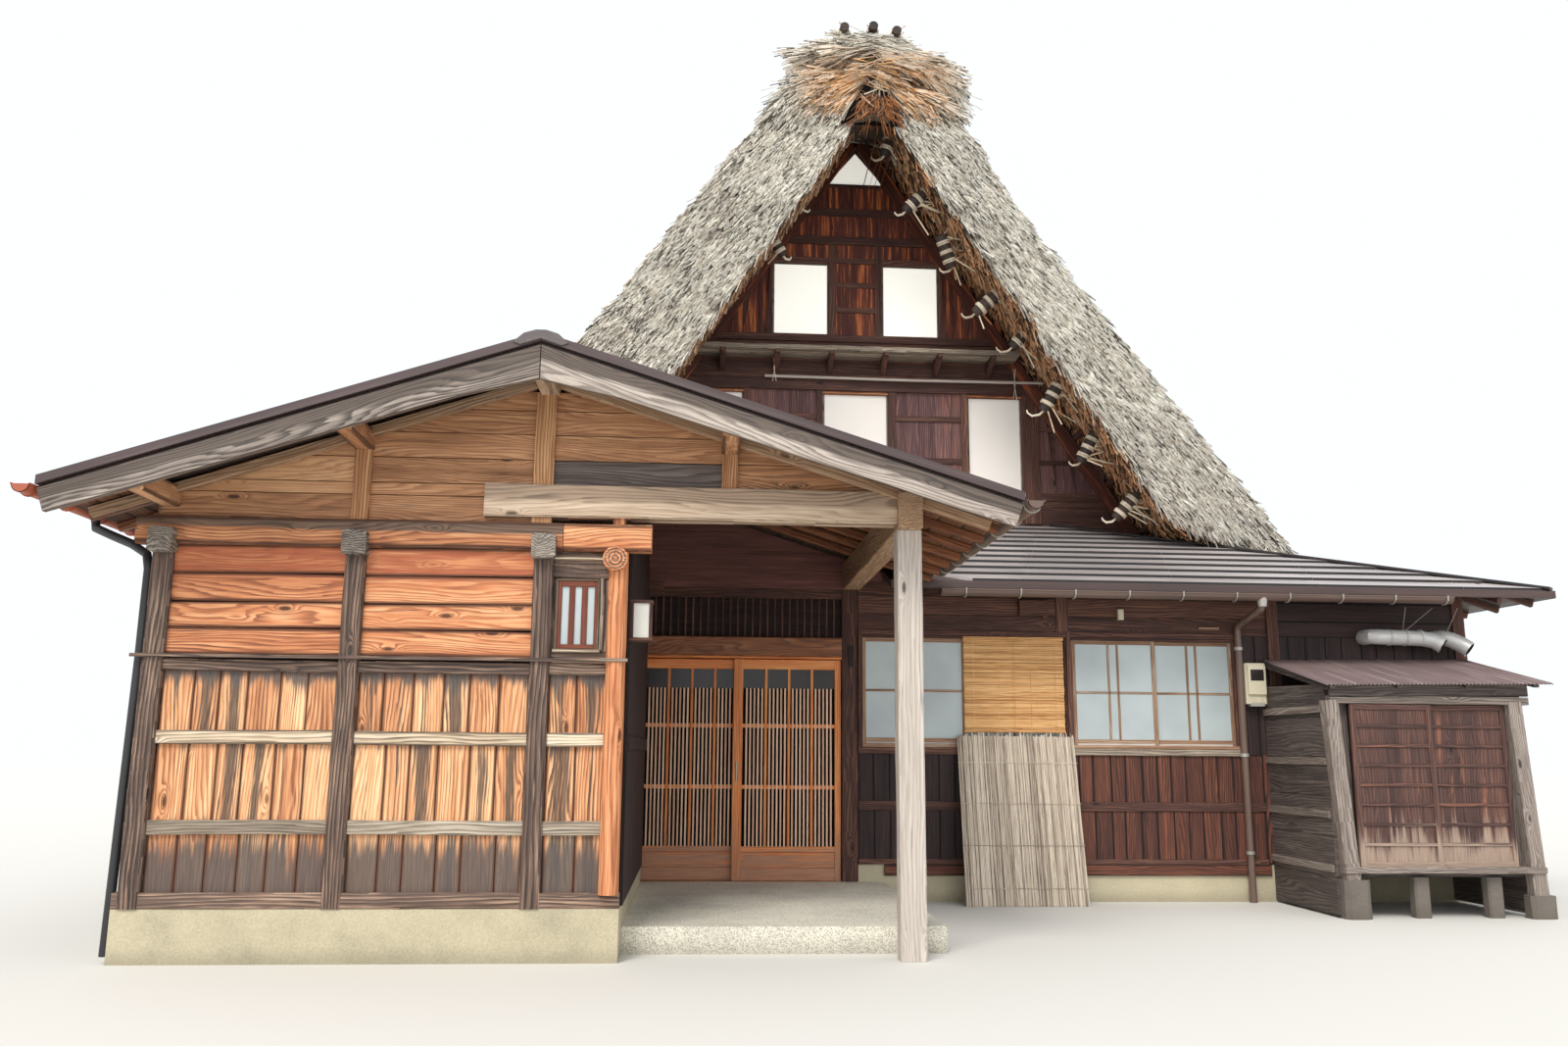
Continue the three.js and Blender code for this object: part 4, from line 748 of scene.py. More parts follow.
LOFT_BOARDS = wood(
    "loft boards", (60, 38, 38), (106, 74, 72), (148, 108, 100), rings=46, knots=0.1, lot=0.3,
    seam=0.010, streak=((140, 84, 64), 0.54, 0.72))
RED_BOARDS = wood(
    "red brown boards", (40, 22, 18), (86, 48, 36), (128, 76, 54), rings=46, knots=0.2, lot=0.28,
    seam=0.012, weather=(66, 46, 40), worn=0.28, streak=((140, 80, 52), 0.62, 0.82))
DARK_BOARDS = wood(
    "dark boards", (26, 17, 17), (49, 33, 32), (74, 51, 47), rings=40, knots=0.1, lot=0.24, seam=0.010)
HALL_BOARDS = wood(
    "hall boards", (66, 40, 36), (112, 70, 64), (142, 94, 84), rings=36, knots=0.0, lot=0.16,
    seam=0.008, lines=0.12)
DOOR_WOOD = wood(
    "door wood", (170, 84, 36), (240, 146, 78), (255, 190, 120), rings=60, figure=4, knots=0.0, lot=0.14,
    rough=0.58, relief=0.0006, band_tone=(176, 128, 100),
    bands=[(0.0, 0.9), (0.30, 0.66), (0.80, 0.22), (3.0, 0.0)])
SLAT_WOOD = wood(
    "slat wood", (178, 128, 100), (246, 200, 168), (253, 224, 200), rings=60, figure=4, knots=0.0, lot=0.2,
    rough=0.6, relief=0.0006)
LINTEL_WOOD = wood(
    "lintel wood", (70, 40, 25), (136, 82, 50), (172, 114, 75), rings=36, figure=16, knots=0.4, rough=0.6)
WINDOW_WOOD = wood(
    "window wood", (92, 64, 48), (150, 114, 88), (196, 166, 136), rings=60, figure=4, knots=0.0, lot=0.2,
    weather=(176, 164, 150), worn=0.36, relief=0.0008)
SHED_BOARDS = wood(
    "shed boards", (40, 25, 23), (82, 56, 50), (122, 84, 70), rings=46, knots=0.15, lot=0.26,
    streak=((156, 96, 64), 0.56, 0.78), band_tone=(160, 138, 122),
    bands=[(0.0, 0.95), (0.42, 0.82), (0.60, 0.50), (0.86, 0.12), (1.1, 0.0), (3.0, 0.0)])
SHED_SIDE_WOOD = wood(
    "shed side wood", (46, 39, 37), (86, 75, 70), (124, 111, 105), rings=40, knots=0.2, lot=0.3,
    weather=(104, 96, 88), worn=0.3, seam=0.012)
SHED_POST_WOOD = wood(
    "shed post wood", (72, 62, 56), (130, 117, 107), (168, 156, 147), rings=46,
    weather=(118, 108, 98), worn=0.30)
POLE_WOOD = wood(
    "pole wood", (26, 20, 18), (52, 40, 34), (86, 68, 56), rings=60, knots=0.1)
CAD_TIMBER = wood(
    "inner timber", (40, 26, 22), (70, 46, 38), (100, 68, 54), rings=18, source="z")
CAD_BOARDING = wood(
    "inner boarding", (96, 70, 48), (150, 116, 82), (184, 150, 112), rings=14, source="y")

# A lit and a shaded copy of one sheet: the steps' darkness is painted shadow under each row's lip, and the
# sheet's paleness is partly painted sheen.
ROOF_METAL = sheet_metal("roof sheet", (168, 159, 156), (212, 206, 202), rough=0.36)
SHADED_RISER_METAL = sheet_metal("roof step", (30, 24, 23), (60, 51, 49), rough=0.5)
TRIM_METAL = sheet_metal("verge trim", (74, 58, 57), (124, 108, 106), rough=0.40)
CAP_METAL = sheet_metal("ridge cap sheet", (88, 80, 78), (130, 122, 118), rough=0.45)
SHED_METAL = sheet_metal("shed roof sheet", (132, 114, 112), (184, 170, 166), rough=0.42, dust_and_sheen=0.4)
COPPER = sheet_metal("terracotta gutter", (170, 88, 62), (120, 84, 70), rough=0.5)
DARK_GUTTER = sheet_metal("dark gutter", (104, 84, 74), (150, 130, 118), rough=0.38)
UNDERLAY = sheet_metal("roof underlay", (70, 58, 54), source="y")
PALE_METAL = sheet_metal("pale metal", (176, 172, 164), (120, 112, 104), rough=0.45, metallic=0.3)
FLUE_METAL = sheet_metal("flue metal", (214, 213, 209), (150, 146, 140), rough=0.4, metallic=0.2, dust_and_sheen=0.4)
EAVE_METAL = sheet_metal("eave edge", (76, 58, 54), (110, 92, 88), rough=0.45)
BEIGE_PAINT = sheet_metal("beige enamel", (206, 196, 170), (150, 138, 112), rough=0.45, dust_and_sheen=0.15)
BLACK_PAINT = sheet_metal("black pipe", (42, 42, 44), (84, 82, 80), rough=0.5)

PLINTH = concrete("cement base", (190, 180, 152))
AGGREGATE = concrete("porch aggregate", (228, 222, 204), stone=0.7)
STONE = concrete("footing stone", (112, 104, 96))

FROSTED = pane("frosted glass", (184, 194, 194), 0.3, cloud=0.2)
# Both papers glow as painted light, the attic's more than the loft's: emission standing in for daylight
# through the paper.
WHITE_PAPER = pane("white paper", (248, 246, 236), 0.75, cloud=0.03, sheen=0.2, painted_glow=0.60)
LOFT_PAPER = pane("loft paper", (232, 226, 218), 0.75, cloud=0.05, sheen=0.2, painted_glow=0.16)
DARK_GLASS = pane("dark glass", (52, 45, 43), 0.25, cloud=0.5, sheen=0.4)
LAMP_GLASS = pane("lamp panel", (226, 223, 214), 0.6, cloud=0.06, sheen=0.2)
# A near-black sheet set behind gaps and in openings, where only shade would show: painted shade.
SHADE_SHEET = pane("painted shade sheet", (18, 13, 12), 0.9, sheen=0.1)

# The core under the stems is dark straw: painted shade in the gaps between stems.
THATCH_BASE = straw("thatch base", (40, 33, 28), (74, 64, 55), (110, 98, 84), (104, 68, 40))
# A share of the stems fall to the darkest stop by chance: painted shade between the stems.
THATCH_STRAW = straw("thatch straw", (42, 33, 26), (228, 216, 198), (255, 252, 241), (210, 160, 108))
SOFFIT_STRAW = straw("soffit straw", (54, 38, 28), (148, 112, 84), (212, 176, 140), (208, 154, 110))
WARM_STRAW = straw("warm straw", (60, 34, 21), (134, 84, 52), (196, 138, 88))
SPLIT_STRAW = straw("split straw", (150, 128, 104), (206, 188, 160), (236, 224, 202))
ROPE = straw("straw rope", (142, 126, 106), (206, 192, 168), (236, 226, 206))
BAMBOO = wood(
    "split bamboo", (152, 102, 54), (226, 170, 108), (250, 212, 156), rings=90, knots=0.0, lot=0.55)
REED = wood(
    "reed stems", (116, 100, 88), (204, 188, 168), (240, 228, 210), rings=90, knots=0.0, lot=0.7)


# Front wing

def add_wing_front():
    """Posts, rails and boards of the wing's front, its head beam and its slatted window."""
    timber = Piece("wing_front_timber", POST_WOOD, RAIL_WOOD, LOG_WOOD, EAVE_WOOD)
    boards = Piece("wing_front_planking", ORANGE_BOARDS, ORANGE_PLANKS, SHADE_SHEET, POST_WOOD)
    back = 0.052
    # A dark sheet behind the boards paints the shade seen through their joints.
    boards.box((WING_LEFT, back, FLOOR + 0.001), (WING_RIGHT, 0.100, WING_HEAD[0]), "x", 2, 0)
    sill = 0.345
    timber.bar((-3.270, 0.028, sill), (WING_RIGHT, 0.028, sill), 0.064, 0.088, cuts=16, wobble=0.006)
    for x in WING_POSTS:
        timber.post(x, 0.026, WING_SILL_TOP - 0.09, WING_HEAD[0] + 0.004, 0.118, 0.072, 0, 0.010, 22, 0.007)
    x, y, radius = LOG_POST
    timber.tube([(x, y, WING_SILL_TOP - 0.01 + 0.1 * i) for i in range(21)], radius, 14, 2)
    starts = [x + POST_HALF for x in WING_POSTS]
    ends = [x - POST_HALF for x in WING_POSTS[1:]] + [LOG_POST[0] - LOG_POST[2] + 0.02]
    bays = list(zip(starts, ends, (6, 6, 2)))
    for left, right, count in bays:
        for low, high in between(WING_SILL_TOP, WING_RAILS[:2], WING_RAILS[2][0]):
            for a, b in row_of(left, right, count):
                face = BOARD_FACE - rng.uniform(0.0, 0.006)
                boards.box((a, face, low - 0.005), (b, back + 0.001, high + 0.005), "z", 0, 0.002)
        for (low, high), skin in zip(WING_RAILS, (3, 1, 0)):
            middle, tilt = (low + high) / 2, rng.uniform(-0.004, 0.004)
            timber.bar((left - 0.005, 0.030, middle + tilt), (right + 0.005, 0.030, middle - tilt),
                       0.044, high - low, skin=skin, cuts=10, wobble=0.005)
    levels = [1.738, 1.896, 2.052, 2.222, 2.392]
    for left, right, _ in bays[:2]:
        for low, high in zip(levels, levels[1:]):
            middle, tilt = (low + high) / 2, rng.uniform(-0.006, 0.006)
            face = 0.030 - rng.uniform(0.0, 0.006)
            boards.bar(
                (left, (face + back) / 2, middle + tilt), (right, (face + back) / 2, middle - tilt),
                back - face, high - low - 0.005, skin=1, bevel=0.003, cuts=6, wobble=0.002)
    left, right, _ = bays[2]
    x0, x1, z0, z1 = WING_WINDOW
    boards.bar((left, 0.040, 2.310), (right, 0.040, 2.302), 0.024, 0.160, skin=3, cuts=8, wobble=0.008)
    boards.box((left, 0.034, 1.71), (right, back, z0), "x", 3)
    boards.box((left, 0.034, z0), (x0, back, z1), "z", 3)
    boards.box((x1, 0.034, z0), (right, back, z1), "z", 3)
    timber.tube([(-0.590, 0.020, 1.79), (-0.586, 0.022, 2.0), (-0.590, 0.018, 2.225)], 0.012, 7, 3)
    rod = 1.724
    timber.box((-3.30, -0.030, rod - 0.008), (-0.425, -0.008, rod + 0.012), "x", 0, 0.003)
    timber.box((-0.580, -0.074, rod - 0.006), (-0.420, -0.057, rod + 0.012), "x", 3, 0.003)
    boards.make(replaces=["wing_front_boards"])

    beams = Piece("wing_head_beam", ORANGE_BEAM, BLOCK_WOOD, RAIL_WOOD, ORANGE_PLANKS, LOG_WOOD, POST_WOOD)
    joint = -0.835
    middle = sum(WING_HEAD) / 2
    for a, b, skin in ((-3.350, joint - 0.002, 0), (joint + 0.002, -0.300, 3)):
        beams.bar((a, 0.050, middle), (b, 0.050, middle), 0.118, 0.168,
                  skin=skin, bevel=0.010, cuts=14, wobble=0.006)
    for x in WING_POSTS:
        beams.bar((x, -0.070, 2.408), (x, 0.060, 2.408), 0.142, 0.148,
                  skin=1, bevel=0.012, cuts=4, wobble=0.008)
    x, z = -0.510, 2.333
    for i, radius in enumerate(LOG_RINGS):
        beams.tube([(x, -0.102 - 0.0012 * i, z), (x, 0.030, z)], radius, 20, 5 if i % 2 else 4)
    beams.box((-0.885, 0.010, 2.330), (-0.560, 0.030, 2.356), "x", 2, 0.002)
    beams.make()
    timber.make(replaces=["wing_front_frame"])

    window = Piece("slatted_window_sash", RAIL_WOOD, FROSTED, RED_SASH)
    front, sash = 0.020, 0.030
    for a, b in ((x0, x0 + 0.010), (x1 - 0.010, x1)):
        window.box((a, front, z0), (b, back, z1), "z")
    window.box((x0, front, z1 - 0.010), (x1, back, z1), "x")
    window.box((x0 - 0.010, front - 0.004, z0 - 0.012), (x1 + 0.010, back, z0 + 0.012), "x")
    for a, b in ((x0 + 0.011, x0 + 0.034), (x1 - 0.030, x1 - 0.011)):
        window.box((a, sash, z0 + 0.012), (b, back, z1 - 0.010), "z", 2)
    for a, b in ((z0 + 0.012, z0 + 0.040), (z1 - 0.046, z1 - 0.010)):
        window.box((x0 + 0.034, sash, a), (x1 - 0.030, back, b), "x", 2)
    for x in (-0.7707, -0.6950):
        window.box((x - 0.018, sash + 0.002, z0 + 0.04), (x + 0.018, back, z1 - 0.046), "z", 2)
    window.box((x0 + 0.034, sash + 0.012, z0 + 0.04), (x1 - 0.030, back - 0.001, z1 - 0.046), "z", 1, 0)
    window.make(replaces=["slatted_window"])


def roof_line_board(piece, side, y, thick, top_drop, bottom_drop, from_x, to_x, cuts, wobble=0.004):
    """A board standing under the wing's roof line, between two depths below the roof's top."""
    depth = (bottom_drop - top_drop) * math.cos(math.atan(WING_SLOPES[side]))
    middle = (top_drop + bottom_drop) / 2
    start, end = (Vector((x, y + thick / 2, wing_top(x) - middle)) for x in (from_x, to_x))
    piece.bar(start, end, thick, depth, cuts=cuts, wobble=wobble, bevel=0.006)


def add_wing_gable():
    """Gable boards, struts, purlin ends and the bargeboards in front of them."""
    gable = Piece("wing_gable_boarding", GABLE_BOARDS, STRUT_WOOD, SHADE_SHEET, SHED_SIDE_WOOD)
    under = ROOF_SKIN + 0.004
    porch_top = 2.80
    levels = [2.560, 2.722, porch_top, 2.960, 3.120, 3.275, 3.40]
    cuts = [WING_LEFT, -2.065, -0.973, 0.172, 1.40]
    for low, high in zip(levels, levels[1:]):
        z0, z1 = low + 0.003, high - 0.003
        for a, b in zip(cuts, cuts[1:]):
            if low < porch_top and a > -1.0:
                continue
            left_low, left_top = (max(a, wing_reach(-1, z, under)) for z in (z0, z1))
            right_low, right_top = (min(b, wing_reach(1, z, under)) for z in (z0, z1))
            if right_low - left_low < 0.04:
                continue
            if right_top < left_top:
                left_top = right_top = (left_top + right_top) / 2
            banded = low == porch_top and -1.0 < a < 0.0
            gable.prism(
                [(left_low, z0), (right_low, z0), (right_top, z1), (left_top, z1)],
                "y", 0.058 - rng.uniform(0.0, 0.008), 0.100, (1, 0, 0), 3 if banded else 0)
    # A dark sheet behind the gable boards: painted shade in their joints.
    backing = [(WING_LEFT, 2.56), (1.33, 2.802), (WING_RIDGE[0], WING_RIDGE[1] - under)]
    gable.prism(backing, "y", 0.100, 0.110, (1, 0, 0), 2)
    for a, b in STRUTS:
        x = (a + b) / 2
        low = WING_HEAD[1] if b < 0 else porch_top
        gable.post(x, 0.045, low, wing_top(x) - 0.19, b - a, 0.055, 1, 0.004, 6, 0.004)
    for a, b in PURLINS:
        x, z = (a + b) / 2, min(wing_top(a), wing_top(b)) - under - 0.0625
        gable.bar((x, -0.445, z), (x, 0.075, z), b - a, 0.125, cuts=3, wobble=0.005, bevel=0.008)
    gable.make(replaces=["wing_gable_wall"])

    ridge = Piece("wing_ridge_beam", BEAM_WOOD)
    x, z = WING_RIDGE[0], 3.4335
    ridge.bar((x, -0.440, z), (x, MAIN_FRONT, z), 0.118, 0.125, cuts=10, wobble=0.004, bevel=0.008)
    ridge.make(replaces=["wing_ridge_purlin"])

    verge = Piece("bargeboards", VERGE_WOOD)
    y0, y1 = VERGE
    points = 18
    for side, far, near in ((-1, -3.685, -3.640), (1, 1.880, 1.835)):
        rings = []
        for i in range(points + 1):
            t = i / points
            x_top = WING_RIDGE[0] + 0.003 * side + (far - WING_RIDGE[0]) * t
            x_low = x_top + (near - far) * t * t * t
            top = wing_top(x_top) - 0.050
            drop = 0.215 - 0.02 * t + 0.035 * max(0.0, 1 - t * 6)
            low = wing_top(x_low) - drop + 0.005 * noise.noise(Vector((x_top * 2.1, side, 0.3)))
            rings.append([(x_low, y0, low), (x_top, y0, top), (x_top, y1, top), (x_low, y1, low)])
        verge.loft(rings, (side, 0.0, -WING_SLOPES[side]))
    verge.make(replaces=["bargeboard_left", "bargeboard_right"])

    inner = Piece("verge_rafters", UNDER_WOOD)
    for side, far in ((-1, -3.62), (1, 1.80)):
        for y in (-0.36, -0.02):
            roof_line_board(inner, side, y, 0.055, ROOF_SKIN + 0.022, ROOF_SKIN + 0.085,
                            WING_RIDGE[0], far, 8)
    inner.make()


def roof_rows(piece, place, span, rows, step, panel=1.25, lip=0.028):
    """Overlapping rows of roofing sheets, each with a darker step at its lower edge: painted shadow under the
    row's lip.

    place(t, inset) is a point of the roof's top, and span(inset) gives where the row starts and ends
    along the eave.
    """
    rise = Vector((0, 0, 1))
    joint = 0.0015
    for k in range(rows):
        low, high = k * step, (k + 1) * step
        (a0, a1), (b0, b1) = span(low), span(high)
        if b1 - b0 < 0.02:
            break
        cuts = [a0]
        t = a0 + (k % 3) / 3 * panel + panel * 0.35
        while t < a1 - 0.15:
            cuts.append(t)
            t += panel
        cuts.append(a1)
        last = len(cuts) - 2
        for i, (start, end) in enumerate(zip(cuts, cuts[1:])):
            s_low, s_high = (start + joint, max(b0, start + joint)) if i else (start, b0)
            e_low, e_high = (end - joint, min(b1, end - joint)) if i < last else (end, b1)
            if e_high - s_high < 0.01:
                s_high = min(max((s_high + e_high) / 2, b0), b1)
                e_high = s_high + 0.005
            corners = [Vector(place(*at)) for at in (
                (s_low, low), (e_low, low), (e_high, high), (s_high, high))]
            bottom = [q + rise * 0.0008 for q in corners]
            top = [q + rise * lift for q, lift in zip(corners, (lip, lip, 0.005, 0.005))]
            piece.loft([bottom, top], (corners[1] - corners[0]).normalized())
            # The step face nearest the eave takes the second, dark material: painted shadow under the lip.
            edge = (corners[0] + corners[1]) / 2
            sides = range(len(piece.faces) - 6, len(piece.faces) - 2)
            centre = lambda face: sum((piece.points[v] for v in piece.faces[face]), Vector()) / 4
            riser = min(sides, key=lambda face: (centre(face) - edge).length)
            direction, seed, _, smooth = piece.facts[riser]
            piece.facts[riser] = (direction, seed, 1, smooth)


def add_wing_roof():
    """The wing's roofing with its verge trim and ridge cap, and the boards and rafters under it."""
    roof = Piece("wing_roofing", ROOF_METAL, SHADED_RISER_METAL, TRIM_METAL, CAP_METAL)
    for side, eave in WING_EAVES.items():
        reach = abs(eave - WING_RIDGE[0])
        rows = int(reach / 0.225)

        def place(t, inset):
            x = eave - side * inset
            return (x, t, wing_top(x))

        def span(inset):
            """Each row runs back until the roof or wall behind it rises above it."""
            behind = EAVE_FRONT + (wing_top(eave - side * inset) - EAVE_HEIGHT) / LEAN_TO_SLOPE
            return (VERGE[0], max(behind, VERGE[0] + 0.2) if side > 0 else min(behind, WING_ROOF_BACK))

        roof_rows(roof, place, span, rows, reach / rows, panel=1.1, lip=0.020)
    points = 14
    for side, eave in WING_EAVES.items():
        rings = []
        for i in range(points + 1):
            x = WING_RIDGE[0] + (eave - side * 0.005 - WING_RIDGE[0]) * i / points
            low, high = wing_top(x) - 0.026, wing_top(x) + 0.026
            rings.append([(x, -0.496, low), (x, -0.496, high), (x, -0.430, high), (x, -0.430, low)])
        roof.loft(rings, None, 2)
    cap = [(-1.115, 3.535), (-1.055, 3.590), (-0.985, 3.612), (-0.925, 3.612), (-0.855, 3.590),
           (-0.795, 3.535), (-0.835, 3.520), (-0.955, 3.560), (-1.075, 3.520)]
    roof.prism(cap, "y", -0.505, WING_ROOF_BACK, (0, 1, 0), 3)
    roof.make(replaces=["wing_ridge_cap"])

    deck = Piece("wing_roof_deck", LINTEL_WOOD, DECK_WOOD)
    for side, wall, boards, back in ((-1, WING_LEFT, 4, 2.87), (1, WING_RIGHT, 15, 2.30)):
        eave = WING_EAVES[side]
        for a, b in row_of(*sorted((eave - side * 0.02, wall)), boards):
            za, zb = wing_top(a) - ROOF_SKIN, wing_top(b) - ROOF_SKIN
            deck.prism([(a, za - 0.014), (b, zb - 0.014), (b, zb - 0.001), (a, za - 0.001)],
                       "y", -0.44, back, (0, 1, 0), 1)
        for i in range(8):
            roof_line_board(deck, side, -0.28 + 0.37 * i, 0.045, ROOF_SKIN + 0.015, ROOF_SKIN + 0.072,
                            wall, eave - side * 0.03, 6, 0.003)
    deck.make()


def add_gutters():
    """The wing's half-round gutters with their straps, and the left one's downpipe."""
    left = Piece("left_gutter", COPPER, BLACK_PAINT)
    right = Piece("right_gutter", DARK_GUTTER, PALE_METAL)
    gutters = ((left, -3.750, 2.622, 2.88, -1, 0), (right, 1.948, 2.651, 2.27, 1, 1))
    for gutter, x, z, back, _, _ in gutters:
        half_round(gutter, (x, -0.535, z), (x, back, z), 0.050)
    for i in range(7):
        for gutter, x, z, _, outward, skin in reversed(gutters):
            hook(gutter, (x, -0.44 + 0.42 * i, z), 0.052, outward, skin)
    pipe = [(-3.750, 0.34, 2.575), (-3.745, 0.34, 2.53), (-3.60, 0.26, 2.47), (-3.42, 0.13, 2.40),
            (-3.300, 0.065, 2.33), (-3.276, 0.052, 2.24), (-3.276, 0.050, 1.70), (-3.300, 0.050, 0.04)]
    left.tube(pipe, 0.027, 10, 1)
    left.make(replaces=["wing_gutter_left"])
    right.make(replaces=["wing_gutter_right"])


def half_round(piece, start, end, radius):
    """A gutter: an open half pipe whose rim is at the given height, with closed ends."""
    sheet, sides = 0.004, 9
    start, end = Vector(start), Vector(end)
    ahead = (end - start).normalized()
    side = ahead.cross(Vector((0, 0, 1))).normalized()
    angles = [math.pi + math.pi * i / sides for i in range(sides + 1)]

    def arc(middle, reach):
        return [middle + side * (math.cos(a) * reach) + Vector((0, 0, math.sin(a) * reach)) for a in angles]

    piece.loft([arc(at, radius) + arc(at, radius - sheet)[::-1] for at in (start, end)])
    for at, thick in ((start, 0.003), (end, -0.003)):
        disc = arc(at, radius)
        piece.loft([disc, [p + ahead * thick for p in disc]])
    for a in (-1, 1):
        piece.tube([start + side * (a * radius), end + side * (a * radius)], 0.006, 6)


def hook(piece, rim, radius, outward, skin):
    """A strap round a gutter's underside, hung from the eave. outward is -1 at the left, 1 at the right."""
    x, y, z = rim
    angles = [math.pi * i / 8 for i in range(9)]
    path = [(x + outward * math.cos(a) * radius, y, z - math.sin(a) * radius) for a in angles]
    path.append((x - outward * (radius + 0.02), y, z + 0.035))
    piece.tube(path, 0.007, 5, skin)


def add_wing_sides():
    """Boards, rails and posts on the wing's outer wall, and boards on its wall to the porch."""
    side = Piece("wing_side_boarding", DARK_BOARDS, POST_WOOD)
    x, low = WING_LEFT, FLOOR + 0.002
    for y0, y1 in row_of(0.10, MAIN_FRONT, 15):
        side.box((x - 0.014, y0, low), (x, y1, wing_top(x) - ROOF_SKIN - 0.03), "z", 0, 0.002)
    for z in (0.345, 1.26, 2.30):
        side.box((x - 0.034, 0.10, z - 0.045), (x - 0.012, MAIN_FRONT, z + 0.045), "y", 1)
    for y in (0.10, 1.44, 2.78):
        side.box((x - 0.040, y, low), (x - 0.010, y + 0.10, wing_top(x) - ROOF_SKIN - 0.04), "z", 1)
    x, y0, y1 = WING_RIGHT, 0.13, 2.76
    for a, b in row_of(y0, y1, 14):
        side.box((x, a, low), (x + 0.012, b, 2.555), "z", 0, 0.002)
    side.box((x, y0, 1.20), (x + 0.026, y1, 1.29), "y", 0)
    side.make()


# Porch and entrance

def add_porch():
    """The porch's post, head beam and side beam."""
    x0, x1 = PORCH_POST
    middle = (x0 + x1) / 2
    porch = Piece("porch_timber", PORCH_WOOD)
    porch.post(middle, 0.075, 0.001, 2.559, 0.155, 0.149, 0, 0.008, 24, 0.004)
    porch.make(replaces=["porch_post"])
    beam = Piece("porch_head_beam", BEAM_WOOD, ORANGE_PLANKS)
    beam.bar((-1.320, 0.065, 2.697), (x0, 0.065, 2.697), 0.148, 0.204, cuts=20, wobble=0.005, bevel=0.010)
    for x in (-0.970, -0.500):
        beam.box((x - 0.04, 0.02, 2.55), (x + 0.04, 0.08, 2.60), "z", 1)
    beam.make(replaces=["porch_beam"])
    side = Piece("porch_side_timber", UNDER_WOOD)
    side.bar((middle, -0.058, 2.674), (middle, AGAINST_WALL, 2.674), 0.152, 0.225,
             cuts=14, wobble=0.004, bevel=0.008)
    side.make(replaces=["porch_side_beam"])


def add_entrance():
    """Posts, lintel, transom lattice and boards round the doors, and the doors themselves."""
    entrance = Piece("entrance_timber", MAROON_FRAME, LINTEL_WOOD, DARK_BOARDS, DOOR_WOOD)
    y = MAIN_FRONT
    left, right = DOORWAY
    for a, b in ((left - 0.120, left), (right, 1.340)):
        entrance.post((a + b) / 2, y + 0.052, 0.161, 2.56, b - a, 0.118, 0, 0.005, 12, 0.002)
    entrance.box((left, y + 0.001, 1.968), (right, y + 0.118, 1.986), "x", 3, 0.003)
    entrance.box((left, y - 0.003, 1.987), (right, y + 0.118, 2.149), "x", 1, 0.008)
    entrance.box((left, y + 0.004, TRANSOM[1]), (right, y + 0.118, 2.56), "x", 0, 0.004)
    entrance.box((left, y + 0.090, TRANSOM[0]), (right, y + 0.104, TRANSOM[1]), "x", 2, 0)
    bars = 27
    for i in range(1, bars):
        x = left + (right - left) * i / bars
        entrance.box((x - 0.007, y + 0.030, TRANSOM[0]), (x + 0.007, y + 0.052, TRANSOM[1]), "z", 0, 0.001)
    entrance.box((left, y + 0.010, 0.1605), (right, y + 0.110, 0.1666), "x", 1, 0)
    entrance.make(replaces=["entrance_frame"])

    boards = Piece("hall_front_boards", HALL_BOARDS, MAROON_FRAME)
    for z0, z1 in ((2.56, 2.717), (2.72, 2.877), (2.88, 3.037), (3.04, 3.197), (3.20, 3.30)):
        low_end, top_end = (min(1.55, wing_reach(1, z, ROOF_SKIN + 0.012)) for z in (z0, z1))
        boards.prism([(WING_RIGHT, z0), (low_end, z0), (top_end, z1), (WING_RIGHT, z1)],
                     "y", y - 0.012, y, (1, 0, 0), 0)
    boards.box((WING_RIGHT, y - 0.030, 2.50), (-0.30, y, 2.60), "x", 1)
    boards.box((1.346, y - 0.010, 1.5), (1.360, y - 0.001, 1.92), "z", 1, 0.001)
    boards.make()

    add_lattice_door("entrance_door_right", 0.300, 2.902, True)
    add_lattice_door("entrance_door_left", -0.486, 2.944, False)
    plate = Piece("bare_plate", DARK_BOARDS)
    plate.box((1.258, y - 0.016, 1.905), (1.300, y - 0.001, 2.085), "z", 0, 0.002)
    plate.make()


